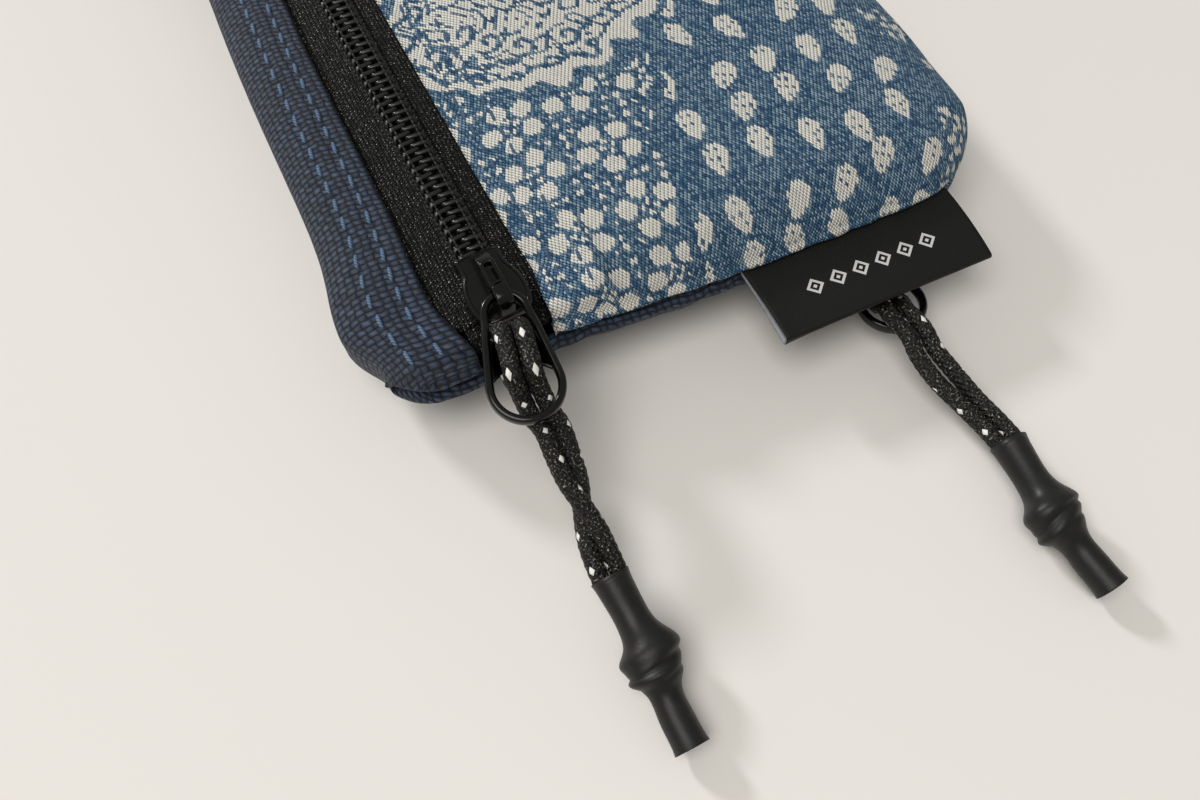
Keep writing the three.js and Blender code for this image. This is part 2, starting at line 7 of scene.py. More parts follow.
import logging
import math
from dataclasses import dataclass, field
from enum import Enum
from typing import Callable, Optional, Sequence, Union

import bpy
import numpy as np
from mathutils import Matrix, Vector


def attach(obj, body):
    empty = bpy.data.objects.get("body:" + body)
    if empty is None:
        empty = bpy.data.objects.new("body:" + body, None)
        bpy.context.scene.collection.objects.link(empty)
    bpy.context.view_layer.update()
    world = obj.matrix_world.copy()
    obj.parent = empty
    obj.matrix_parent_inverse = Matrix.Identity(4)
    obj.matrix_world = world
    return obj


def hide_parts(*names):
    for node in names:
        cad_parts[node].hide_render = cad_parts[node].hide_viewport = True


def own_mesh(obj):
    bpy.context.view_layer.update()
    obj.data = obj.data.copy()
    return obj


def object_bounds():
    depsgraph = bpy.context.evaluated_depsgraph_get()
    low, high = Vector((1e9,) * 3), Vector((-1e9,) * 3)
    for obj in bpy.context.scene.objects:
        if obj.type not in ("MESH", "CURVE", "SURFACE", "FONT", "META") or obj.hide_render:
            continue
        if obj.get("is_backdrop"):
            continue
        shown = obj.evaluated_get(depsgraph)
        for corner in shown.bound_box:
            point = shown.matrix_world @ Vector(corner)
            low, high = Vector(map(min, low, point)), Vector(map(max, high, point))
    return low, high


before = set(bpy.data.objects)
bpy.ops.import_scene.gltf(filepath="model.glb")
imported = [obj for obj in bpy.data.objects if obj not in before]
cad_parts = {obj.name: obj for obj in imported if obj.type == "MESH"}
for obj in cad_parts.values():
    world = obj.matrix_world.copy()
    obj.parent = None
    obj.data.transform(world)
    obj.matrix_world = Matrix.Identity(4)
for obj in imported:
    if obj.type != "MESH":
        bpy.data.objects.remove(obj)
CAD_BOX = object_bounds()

LOG = logging.getLogger("pouch")
MM = 0.001

# Sizes that the solids have too

WIDTH = 86.0
LENGTH = 119.4
THICKNESS = 17.2
SEAM = 9.8
SEAM_HALF_GAP = 1.8
CLOTH = 1.0
SECTION_POWER = 3.4
END_POWER = 10.0
ZIP_END_POWER = 120.0
SHEAR = -0.08
BOW = 2.2
REST_PRESS = 1.0
PLAN_POWER = 9.0
CORNER_NARROWING = 0.09
VALLEY_BLEND = 9.0
NARROW_GAP = 6.6
WIDE_GAP = 5.2
COIL_HEIGHT = 1.5
FRONT_ZIP_X = -26.0
BACK_ZIP_X = 22.5
FRONT_COIL_TOP = 15.2
BACK_COIL_TOP = 5.8
TAPE_REACH = 8.4
ZIP_END_INSET = 1.7
SLIDER_LENGTH = 9.8
AXIS_Y = -2.7
AXIS_Z = 3.0

# The least height of a soft piece over the table

TABLE_CLEARANCE = 0.02

# Fineness of curves and of thin round parts

CURVE_STEPS = 24
WIDE_TUBE_SIDES = 20
RIM_SIDES = 20
STITCH_STEPS = 7
STITCH_SIDES = 8

Array = np.ndarray
Number = Union[float, "Value"]
Tint = Union[Sequence[float], "Value"]
Colour = tuple[float, float, float]
Course = Sequence[Sequence[float]]
Place = Callable[[Array], Array]


class Side(Enum):
    """Which way a fold or a zip row faces along X."""

    LEFT = -1
    RIGHT = 1


# Shader maths


class Value:
    """A node's output socket, with Python operators that add Math nodes."""

    def __init__(self, shade: "Shade", socket: bpy.types.NodeSocket) -> None:
        """Wraps one output socket of a shade's node tree."""
        self.shade = shade
        self.socket = socket

    def maths(self, operation: str, *values: Number) -> "Value":
        """One Math node on this and other values."""
        return self.shade.node("ShaderNodeMath", {"operation": operation}, *values)

    def __add__(self, other: Number) -> "Value":
        """self + other"""
        return self.maths("ADD", self, other)

    __radd__ = __add__

    def __sub__(self, other: Number) -> "Value":
        """self - other"""
        return self.maths("SUBTRACT", self, other)

    def __rsub__(self, other: Number) -> "Value":
        """other - self"""
        return self.maths("SUBTRACT", other, self)

    def __mul__(self, other: Number) -> "Value":
        """self * other"""
        return self.maths("MULTIPLY", self, other)

    __rmul__ = __mul__

    def __truediv__(self, other: Number) -> "Value":
        """self / other"""
        return self.maths("DIVIDE", self, other)

    def __pow__(self, other: Number) -> "Value":
        """self to a power"""
        return self.maths("POWER", self, other)

    def __mod__(self, other: float) -> "Value":
        """The floored remainder."""
        return self.maths("FLOORED_MODULO", self, other)

    def __lt__(self, other: Number) -> "Value":
        """1 where self is below other."""
        return self.maths("LESS_THAN", self, other)

    def __gt__(self, other: Number) -> "Value":
        """1 where self is above other."""
        return self.maths("GREATER_THAN", self, other)

    def __abs__(self) -> "Value":
        """The size without its sign."""
        return self.maths("ABSOLUTE", self)

    def floor(self) -> "Value":
        """The whole number below."""
        return self.maths("FLOOR", self)

    def fract(self) -> "Value":
        """The part after the point."""
        return self.maths("FRACT", self)

    def sine(self) -> "Value":
        """The sine of an angle in radians."""
        return self.maths("SINE", self)

    def cosine(self) -> "Value":
        """The cosine of an angle in radians."""
        return self.maths("COSINE", self)

    def wave(self) -> "Value":
        """The sine as a share from 0 to 1."""
        return self.sine() * 0.5 + 0.5

    def root(self) -> "Value":
        """The square root."""
        return self.maths("SQRT", self)

    def least(self, other: Number) -> "Value":
        """The smaller of two."""
        return self.maths("MINIMUM", self, other)

    def most(self, other: Number) -> "Value":
        """The larger of two."""
        return self.maths("MAXIMUM", self, other)

    def ramp(self, low: float, high: float) -> "Value":
        """0 below low, 1 above high, smooth between.

        Args:
            low: Where the ramp starts.
            high: Where it ends; it may be below low, for a falling ramp.

        Returns:
            The share from 0 to 1.
        """
        share = self.shade.node(
            "ShaderNodeMapRange", {"interpolation_type": "SMOOTHSTEP"}, self, min(low, high), max(low, high)
        )
        return share if low < high else 1 - share


class Shade:
    """A material under construction: its nodes, and the shader that ends them."""

    def __init__(self, name: str) -> None:
        """Starts a material with a bare principled shader.

        Args:
            name: The material's name.
        """
        self.material = bpy.data.materials.new(name)
        self.material.use_nodes = True
        self.tree = self.material.node_tree
        self.shader = self.tree.nodes["Principled BSDF"]

    def node(self, kind: str, settings: Optional[dict] = None, *values: Number, out: Union[int, str] = 0,
             **named: Number) -> Value:
        """Makes a node, sets its options first and then its sockets.

        Args:
            kind: The node's type.
            settings: Its properties, such as a Math node's operation.
            values: Values or links for its sockets, by order; None leaves one alone.
            out: Which output to return, by order or name.
            named: Values or links for its sockets, by name with _ for a space.

        Returns:
            The output socket as a value.
        """
        made = self.tree.nodes.new(kind)
        for key, value in (settings or {}).items():
            setattr(made, key, value)
        pairs = [(made.inputs[i], v) for i, v in enumerate(values) if v is not None]
        pairs += [(made.inputs[key.replace("_", " ")], v) for key, v in named.items()]
        for socket, value in pairs:
            self.feed(socket, value)
        return Value(self, made.outputs[out])

    def feed(self, socket: bpy.types.NodeSocket, value: Number) -> None:
        """Links a value to a socket, or sets a constant on it.

        Args:
            socket: The socket.
            value: The value or constant.
        """
        if isinstance(value, Value):
            self.tree.links.new(value.socket, socket)
        elif hasattr(value, "__len__") and len(value) == 3 and len(socket.default_value) == 4:
            socket.default_value = (*value, 1.0)
        else:
            socket.default_value = value

    def mix(self, share: Number, first: Tint, second: Tint) -> Value:
        """A colour between two, by a share from 0 to 1."""
        # The colour sockets come after five that stay as they are, and the colour is output 2.
        return self.node("ShaderNodeMix", {"data_type": "RGBA"}, share, *[None] * 5, first, second, out=2)

    def flat(self) -> tuple[Value, Value]:
        """The cloth's own coordinates in millimetres, across and along.

        Returns:
            Both coordinates.
        """
        spot = self.node("ShaderNodeTexCoord", {}, out="UV")
        split = self.node("ShaderNodeSeparateXYZ", {}, spot)
        return split, Value(self, split.socket.node.outputs[1])

    def place(self) -> Value:
        """The point in the piece's own space, in metres."""
        return self.node("ShaderNodeTexCoord", {}, out="Object")

    def vector(self, x: Number, y: Number, z: Number = 0.0) -> Value:
        """A vector from three values."""
        return self.node("ShaderNodeCombineXYZ", {}, x, y, z)

    def angle(self, y: Number, x: Number) -> Value:
        """The angle of a direction, in radians."""
        return self.node("ShaderNodeMath", {"operation": "ARCTAN2"}, y, x)

    def random(self, x: Number, y: Number) -> Value:
        """A random number from 0 to 1 for each pair of whole numbers."""
        return self.node("ShaderNodeTexWhiteNoise", {"noise_dimensions": "2D"}, Vector=self.vector(x, y))

    def noise(self, spot: Value, scale: float, detail: float = 2.0, roughness: float = 0.5) -> Value:
        """Soft noise from 0 to 1 at a point."""
        return self.node("ShaderNodeTexNoise", {}, Vector=spot, Scale=scale, Detail=detail, Roughness=roughness)

    def bump(self, height: Value, depth_mm: float, strength: float = 1.0) -> None:
        """Feeds a height from 0 to 1 to the shader's normal."""
        raised = self.node("ShaderNodeBump", {}, Strength=strength, Distance=depth_mm * MM, Height=height)
        self.end(Normal=raised)

    def end(self, **named: Number) -> None:
        """Sets or links the shader's own sockets, by name with _ for a space."""
        for key, value in named.items():
            self.feed(self.shader.inputs[key.replace("_", " ")], value)


def yarns(shade: Shade, u: Value, v: Value, pitch_u: float, pitch_v: float) -> tuple[Value, Value, Value]:
    """A plain weave of round yarns.

    Args:
        shade: The material.
        u: Millimetres across.
        v: Millimetres along.
        pitch_u: Width of the yarns that run along.
        pitch_v: Width of the yarns that run across.

    Returns:
        The height from 0 to 1, 1 where the yarn along lies on top, and a tone of its own for each yarn crossing.
    """
    a, b = u / pitch_u, v / pitch_v
    over = (a.floor() + b.floor()) % 2.0
    fa, fb = a.fract() - 0.5, b.fract() - 0.5
    rounding, dive = 3.4, 1.9
    along = (1 - fa * fa * rounding) * (1 - fb * fb * dive)
    across = (1 - fb * fb * rounding) * (1 - fa * fa * dive)
    height = over * along + (1 - over) * across
    return height, over, shade.random(a.floor(), b.floor())


@dataclass(frozen=True)
class Finish:
    """A surface finish. Its build method makes the material."""

    name: str

    def build(self) -> bpy.types.Material:
        """Makes the material; each finish has its own."""
        raise NotImplementedError


@dataclass(frozen=True)
class CoarseWeave(Finish):
    """Heavy plain-weave nylon with round shiny yarns."""

    # The lit colour is painted light on the yarns' tops, and the dark one is painted shade in the gaps between them.
    lit: Colour = (0.064, 0.096, 0.172)
    painted_gap_shade: Colour = (0.0025, 0.004, 0.009)
    pitch_across: float = 1.08
    pitch_along: float = 0.80
    depth: float = 0.50

    def build(self) -> bpy.types.Material:
        """Makes the material.

        Returns:
            The cloth's material.
        """
        shade = Shade(self.name)
        u, v = shade.flat()
        wave = shade.noise(shade.vector(u * 0.22, v * 0.22), 1.0, 3.0)
        jitter = shade.noise(shade.vector(u, v), 0.8, 1.0) - 0.5
        u2 = u + (wave - 0.5) * 0.8 + jitter * 0.38
        v2 = v + (wave - 0.5) * 0.6 - jitter * 0.34
        height, over, tone = yarns(shade, u2, v2, self.pitch_across, self.pitch_along)
        strands = (u2 * 47.0 * over + (v2 + u2 * 0.25) * 43.0 * (1 - over)).wave()
        height = height * (1 - over * 0.22)
        lift = height.ramp(0.22, 0.95)
        # The colour is painted dark in the gaps between the yarns and lit on their tops, besides each yarn's own tone
        # and strands: painted shade and painted light.
        bright = lift * (0.48 + tone * 0.52) * (0.66 + strands * 0.34)
        shade.end(Base_Color=shade.mix(bright, self.painted_gap_shade, self.lit), Roughness=0.60 - lift * 0.16,
                  Specular_IOR_Level=0.38, Sheen_Weight=0.03, Sheen_Roughness=0.4)
        shade.bump(height + strands * 0.10, self.depth)
        return shade.material


@dataclass(frozen=True)
class BandanaTwill(Finish):
    """Blue twill with a cream traditional bandana pattern woven in steps of its yarns."""

    blue: Colour = (0.035, 0.098, 0.198)
    pale_blue: Colour = (0.290, 0.455, 0.580)
    # The darkest blue is painted shade in the troughs between the yarns.
    painted_trough_blue: Colour = (0.003, 0.011, 0.030)
    speck: Colour = (0.500, 0.530, 0.510)
    cream: Colour = (0.960, 0.935, 0.860)
    cream_shade: Colour = (0.170, 0.190, 0.200)
    rib: float = 0.45
    pick: float = 0.38
    rib_x: float = 0.89
    rib_y: float = -0.456
    repeat: float = 66.0
    first: float = 64.0
    leaf_spacing: float = 6.6
    leaf_half_length: float = 2.5
    leaf_half_width: float = 1.46
    flower_spacing: float = 9.4
    flower_radius: float = 4.7
    petal_at: float = 2.85
    petal_radius_squared: float = 1.72
    seed_at: float = 0.85
    seed_radius_squared: float = 0.16
    curl_spacing: float = 5.6
    curl_radius: float = 2.0
    outer_rim: float = 0.87
    inner_rim: float = 0.70
    motif_x: float = 16.0
    motif_y: float = 14.0
    flowers_to: float = 35.6
    leaves_from: float = 38.0
    edging_from: float = 57.5

    def dots(self, shade: Shade, spot: Value, spacing: float, radius: float, scatter: float) -> Value:
        """Round dots, one in each cell of a scattered grid.

        Args:
            shade: The material.
            spot: The point.
            spacing: The cells' size.
            radius: The dots' radius.
            scatter: How far the cells are scattered.

        Returns:
            1 in a dot.
        """
        far = shade.node("ShaderNodeTexVoronoi", {"voronoi_dimensions": "2D"}, Vector=spot, Scale=1 / spacing,
                         Randomness=scatter)
        return far < radius / spacing

    def cell(self, shade: Shade, spot: Value, spacing: float, scatter: float) -> tuple[Value, Value, Value]:
        """The place within a cell of a scattered grid, in millimetres, and the cell's own random number.

        Args:
            shade: The material.
            spot: The point.
            spacing: The cells' size.
            scatter: How far the cells are scattered.

        Returns:
            Across, along and the number.
        """
        near = shade.node("ShaderNodeTexVoronoi", {"voronoi_dimensions": "2D"}, Vector=spot, Scale=1 / spacing,
                          Randomness=scatter, out="Position")
        tone = shade.node("ShaderNodeSeparateColor", {}, Value(shade, near.socket.node.outputs["Color"]))
        local = shade.node("ShaderNodeVectorMath", {"operation": "SUBTRACT"}, spot, near)
        split = shade.node("ShaderNodeSeparateXYZ", {}, local)
        return split, Value(shade, split.socket.node.outputs[1]), tone

    def leaves(self, shade: Shade, spot: Value) -> Value:
        """Drop-shaped leaves with small seeds in them, their points downwards, each turned its own way.

        Args:
            shade: The material.
            spot: The point.

        Returns:
            1 in a leaf.
        """
        x, y, tone = self.cell(shade, spot, self.leaf_spacing, 0.34)
        turn = (tone - 0.5) * 1.1 + 0.12
        along = x * turn.sine() + y * turn.cosine()
        across = x * turn.cosine() - y * turn.sine()
        share = along / self.leaf_half_length
        half = ((1 + share).most(0.0) ** 0.80) * ((1 - share).most(0.0) ** 0.5) * self.leaf_half_width
        leaf = (abs(across) < half) * (abs(share) < 1.0)
        seeds = self.dots(shade, shade.vector(across + 7.3, along * 0.62), 0.92, 0.17, 0.20)
        return leaf * (1 - seeds * (abs(across) < half - 0.40))

    def flowers(self, shade: Shade, spot: Value) -> Value:
        """Flowers of five round petals round a small cluster, with dots between them.

        Args:
            shade: The material.
            spot: The point.

        Returns:
            1 in a flower or dot.
        """
        x, y, tone = self.cell(shade, spot, self.flower_spacing, 0.22)
        far = (x * x + y * y).root()
        angle = shade.angle(y, x) + tone * 1.2
        fifth = 2 * math.pi / 5
        wedge = (angle + 10 * fifth + fifth / 2) % fifth - fifth / 2
        px, py = far * wedge.cosine() - self.petal_at, far * wedge.sine()
        petals = (px * px + py * py) < self.petal_radius_squared
        fourth = math.pi / 2
        quarter = (angle + 12 * fourth) % fourth - fourth / 2
        qx, qy = far * quarter.cosine() - self.seed_at, far * quarter.sine()
        inner = (qx * qx + qy * qy) < self.seed_radius_squared
        fill = self.dots(shade, spot, 1.78, 0.46, 0.45) * (far > self.flower_radius)
        return petals.most(inner).most(fill)

    def scrolls(self, shade: Shade, spot: Value, to_edge: Value) -> Value:
        """A cream ground with blue meander lines, curls and rims that follow the motif's edge.

        Args:
            shade: The material.
            spot: The point.
            to_edge: The share of the way to the motif's edge.

        Returns:
            1 where it is cream.
        """
        bent = shade.noise(spot, 0.26, 0.0)
        worms = abs((bent * 16.0).sine()) > 0.44
        x, y, _ = self.cell(shade, spot, self.curl_spacing, 0.65)
        far = (x * x + y * y).root()
        angle = shade.angle(y, x)
        curl = (far * 3.5 + angle).sine() > -0.30
        inside = far < self.curl_radius
        rims = (abs(to_edge - self.outer_rim) > 0.021) * (abs(to_edge - self.inner_rim) > 0.018)
        plain = to_edge > self.outer_rim
        fill = inside * curl + (1 - inside) * worms
        return rims * (plain + (1 - plain) * fill)

    def motif(self, shade: Shade, us: Value, vs: Value) -> Value:
        """The whole pattern: 1 where it is cream, at a place in millimetres.

        Args:
            shade: The material.
            us: Millimetres across.
            vs: Millimetres along.

        Returns:
            1 where it is cream.
        """
        spot = shade.vector(us + 60.0, vs + 90.0)
        here = shade.vector(us, vs)
        wobble = shade.noise(here, 0.15, 1.0) - 0.5
        row = ((vs + self.first) % self.repeat) - self.first + self.motif_y
        bow = us - self.motif_x
        angle = shade.angle(row, bow)
        scallop = (angle * 17.0).sine() * 0.028
        to_edge = (bow * bow / 330.0 + row * row / 225.0).root() + wobble * 0.42 + scallop
        scroll = to_edge < 1.0
        slanted = us - (row - self.motif_y) * 0.30 + wobble * 7.0
        edge = us + wobble * 9.0
        patchy = shade.noise(here, 0.11, 0.0) > 0.49
        edging = (edge > self.edging_from) * patchy * self.dots(shade, spot, 1.7, 0.56, 0.7)
        leafy = (slanted > self.leaves_from) * (edge < self.edging_from)
        flowery = slanted < self.flowers_to
        cover = leafy * self.leaves(shade, spot) + flowery * self.flowers(shade, spot) + edging
        ring = abs(to_edge - 1.06) < 0.055
        return (scroll * self.scrolls(shade, spot, to_edge) + (1 - scroll) * (1 - ring) * cover).least(1.0)

    def build(self) -> bpy.types.Material:
        """Makes the material.

        Returns:
            The printed cloth's material.
        """
        shade = Shade(self.name)
        u, v = shade.flat()
        drift = shade.noise(shade.vector(u, v), 0.25, 2.0)
        ribs = (u * self.rib_x + v * self.rib_y) / self.rib
        row = ribs.floor()
        across = ribs.fract() - 0.5
        picks = (v * self.rib_x - u * self.rib_y) / self.pick + row * 0.5 + across * 0.75
        pick = picks.floor()
        along = picks.fract() - 0.5
        rib_mid = (row + 0.5) * self.rib
        pick_mid = (pick + 0.5 - row * 0.5) * self.pick
        motif = self.motif(shade, rib_mid * self.rib_x - pick_mid * self.rib_y,
                           rib_mid * self.rib_y + pick_mid * self.rib_x)
        height = (1 - across * across * 2.3) * (1 - along * along * 2.5)
        tone = shade.random(row, pick)
        fibre = shade.noise(shade.vector(u, v * 0.6), 3.4, 2.0)
        # The ground is painted darkest blue in the troughs between the yarns as painted shade. Its paler blue, from
        # the yarns' own tone, shows only on their raised tops as painted light. The cream is painted darker in its
        # troughs as painted shade.
        lift = height.ramp(0.15, 0.80)
        pale = ((tone * 0.90 + drift * 0.25 + fibre * 0.70 - 0.55) * lift).most(0.0)
        speck = (abs(across + 0.12) < 0.20) * (abs(along) < 0.26) * (tone > 0.60)
        ground = shade.mix(lift, self.painted_trough_blue, shade.mix(pale, self.blue, self.pale_blue))
        ground = shade.mix(speck * (0.10 + fibre * 0.65), ground, self.speck)
        light = shade.mix(lift * (0.82 + tone * 0.18), self.cream_shade, self.cream)
        shade.end(Base_Color=shade.mix(motif, ground, light), Roughness=0.88, Specular_IOR_Level=0.15)
        shade.bump(height + motif * 0.35 + fibre * 0.25, 0.28)
        return shade.material


@dataclass(frozen=True)
class TapeWeave(Finish):
    """Black zip tape, woven in short steep ribs, with glints of light painted on their tops as pale dots."""

    dark: Colour = (0.0020, 0.0020, 0.0019)
    lit: Colour = (0.720, 0.690, 0.600)

    def build(self) -> bpy.types.Material:
        """Makes the material.

        Returns:
            The tape's material.
        """
        shade = Shade(self.name)
        u, v = shade.flat()
        slant = abs(u) * 0.55
        stray = shade.noise(shade.vector(u, v), 1.9, 2.0)
        height, over, tone = yarns(shade, u + (stray - 0.5) * 0.34, v + slant + (stray - 0.5) * 0.30, 0.52, 0.40)
        # The pale dots are painted glints, on the ribs' tops only.
        glint = shade.noise(shade.vector(u * 1.6, v), 4.2, 1.0).ramp(0.63, 0.70)
        spark = (tone.ramp(0.70, 1.0) * 0.05 + glint) * height.ramp(0.45, 1.0)
        shade.end(Base_Color=shade.mix(spark, self.dark, self.lit), Roughness=0.58 + over * 0.1,
                  Specular_IOR_Level=0.22)
        shade.bump(height + stray * 0.4, 0.30)
        return shade.material


@dataclass(frozen=True)
class Braid(Finish):
    """Black braided cord with white flecks and fine pale tweed speckles, partly painted glints on the braid's raised
    lobes.
    """

    black: Colour = (0.0026, 0.0026, 0.0026)
    specks_and_glints: Colour = (0.340, 0.325, 0.275)
    flecks: Colour = (0.80, 0.79, 0.75)
    around: float = 6.9
    rise: float = 1.12
    lobes: float = 8.0

    def build(self) -> bpy.types.Material:
        """Makes the material.

        Returns:
            The braid's material.
        """
        shade = Shade(self.name)
        u, v = shade.flat()
        p = v / self.rise + u / self.around * self.lobes
        q = v / self.rise - u / self.around * self.lobes
        fp, fq = p.fract() - 0.5, q.fract() - 0.5
        height = ((1 - fp * fp * 3.6) * (1 - fq * fq * 1.6)).most((1 - fq * fq * 3.6) * (1 - fp * fp * 1.6))
        tone = shade.random(p.floor(), q.floor())
        fleck = ((p.floor() * 3.0 + q.floor() * 5.0) % 29.0 < 1.0) * (abs(fp) < 0.47) * (abs(fq) < 0.47)
        # The pale tweed is partly the yarn's own speckle and partly painted glints: it shows on the braid's raised
        # lobes only.
        tweed = shade.noise(shade.vector(u, v), 4.3, 2.0).ramp(0.55, 0.66) * (0.15 + tone * 0.85)
        base = shade.mix(tweed * height, self.black, self.specks_and_glints)
        shade.end(Base_Color=shade.mix(fleck, base, self.flecks), Roughness=0.60 - fleck * 0.1,
                  Specular_IOR_Level=0.25)
        shade.bump(height, 0.17)
        return shade.material


@dataclass(frozen=True)
class Satin(Finish):
    """Black woven satin with fine ribs and a row of small generic marks."""

    black: Colour = (0.0040, 0.0040, 0.0038)
    painted_rib_sheen: Colour = (0.0120, 0.0120, 0.0115)
    reverse: Colour = (0.30, 0.32, 0.34)
    marks: Colour = (0.66, 0.66, 0.65)
    reverse_from: float = 10.35
    mark_pitch: float = 3.3
    marks_at: float = 4.6
    first: float = 5.2
    last: float = 24.8

    def build(self) -> bpy.types.Material:
        """Makes the material.

        Returns:
            The label's material.
        """
        shade = Shade(self.name)
        u, v = shade.flat()
        ribs = (v * 26.0).wave()
        grain = (u * 30.0).wave()
        x = ((u - self.first) / self.mark_pitch).fract() * self.mark_pitch - self.mark_pitch / 2
        y = v - self.marks_at
        diamond = abs(x) * 0.95 + abs(y)
        outline = (diamond < 1.18) * (diamond > 0.72)
        centre = diamond < 0.30
        row = (u > self.first) * (u < self.last)
        mark = (outline + centre) * row
        # The ribs' crests are painted a little lighter, on the cloth and on the marks: a painted sheen.
        face = shade.mix(ribs * grain, self.black, self.painted_rib_sheen)
        cloth = shade.mix(v > self.reverse_from, face, self.reverse)
        shade.end(Base_Color=shade.mix(mark * (0.8 + ribs * 0.2), cloth, self.marks), Roughness=0.52,
                  Specular_IOR_Level=0.22)
        shade.bump(ribs * 0.6 + grain * 0.4 + mark * 0.9, 0.045)
        return shade.material


@dataclass(frozen=True)
class Plain(Finish):
    """A coated or moulded surface with fine grain and a little wear."""

    colour: Colour
    worn: Colour
    roughness: float
    grain: float = 2600.0
    depth: float = 0.02
    coat: float = 0.0
    specular: float = 0.5

    def build(self) -> bpy.types.Material:
        """Makes the material.

        Returns:
            The material.
        """
        shade = Shade(self.name)
        spot = shade.place()
        fine = shade.noise(spot, self.grain, 3.0, 0.6)
        broad = shade.noise(spot, self.grain * 0.12, 2.0)
        wear = (fine * 0.5 + broad * 0.5).ramp(0.42, 0.68)
        shade.end(Base_Color=shade.mix(wear, self.colour, self.worn), Roughness=self.roughness - wear * 0.06,
                  Coat_Weight=self.coat, Coat_Roughness=0.12, Specular_IOR_Level=self.specular)
        shade.bump(fine, self.depth)
        return shade.material


@dataclass(frozen=True)
class TwistedThread(Finish):
    """Sewing thread, with its plies wound round it."""

    colour: Colour
    pale: Colour

    def build(self) -> bpy.types.Material:
        """Makes the material.

        Returns:
            The thread's material.
        """
        shade = Shade(self.name)
        u, v = shade.flat()
        # The plies' crests are painted in the paler colour and their grooves in the darker one: painted light and
        # painted shade.
        ply = (u * 9.0 + v * 11.0).wave()
        shade.end(Base_Color=shade.mix(ply, self.colour, self.pale), Roughness=0.55, Specular_IOR_Level=0.5)
        shade.bump(ply, 0.06)
        return shade.material


@dataclass(frozen=True)
class PaleTable(Finish):
    """The matt warm white table top."""

    colour: Colour = (0.770, 0.745, 0.710)

    def build(self) -> bpy.types.Material:
        """Makes the material.

        Returns:
            The table's material.
        """
        shade = Shade(self.name)
        tone = shade.noise(shade.place(), 18.0, 3.0)
        soft = tuple(c * 0.985 for c in self.colour)
        shade.end(Base_Color=shade.mix(tone, self.colour, soft), Roughness=0.72, Specular_IOR_Level=0.25)
        return shade.material


FINISHES: dict[str, Finish] = {
    finish.name: finish for finish in (
        CoarseWeave("navy_cloth"),
        BandanaTwill("print_cloth"),
        TapeWeave("zip_tape"),
        Braid("cord_braid"),
        Satin("label_satin"),
        Plain("zip_coil", (0.0040, 0.0040, 0.0038), (0.010, 0.0095, 0.0090), 0.27, depth=0.012, specular=0.55),
        Plain("black_metal", (0.0022, 0.0022, 0.0021), (0.0048, 0.0048, 0.0044), 0.18, grain=1500.0, depth=0.006,
              coat=0.12, specular=0.30),
        Plain("sleeve_rubber", (0.0085, 0.0086, 0.0080), (0.0135, 0.0134, 0.0124), 0.44, grain=1300.0, depth=0.030,
              specular=0.32),
        Plain("lining", (0.010, 0.010, 0.012), (0.018, 0.018, 0.020), 0.7, grain=3000.0, depth=0.04),
        TwistedThread("navy_thread", (0.035, 0.072, 0.145), (0.120, 0.205, 0.330)),
        TwistedThread("print_thread", (0.018, 0.048, 0.105), (0.060, 0.125, 0.220)),
        TwistedThread("black_thread", (0.006, 0.006, 0.006), (0.035, 0.034, 0.032)),
        PaleTable("table"),
    )
}
# The materials made so far, by their finishes' names

MATERIALS: dict[str, bpy.types.Material] = {}


def finish_of(name: str) -> bpy.types.Material:
    """The material of a finish, made once.

    Args:
        name: The finish's name.

    Returns:
        The material.
    """
    if name not in MATERIALS:
        MATERIALS[name] = FINISHES[name].build()
    return MATERIALS[name]


# Mesh making


def put(name: str, data: bpy.types.ID) -> bpy.types.Object:
    """Makes an object of a mesh, lamp or camera and links it to the scene.

    Args:
        name: The object's name.
        data: The mesh, lamp or camera.

    Returns:
        The object.
    """
    made = bpy.data.objects.new(name, data)
    bpy.context.scene.collection.objects.link(made)
    return made


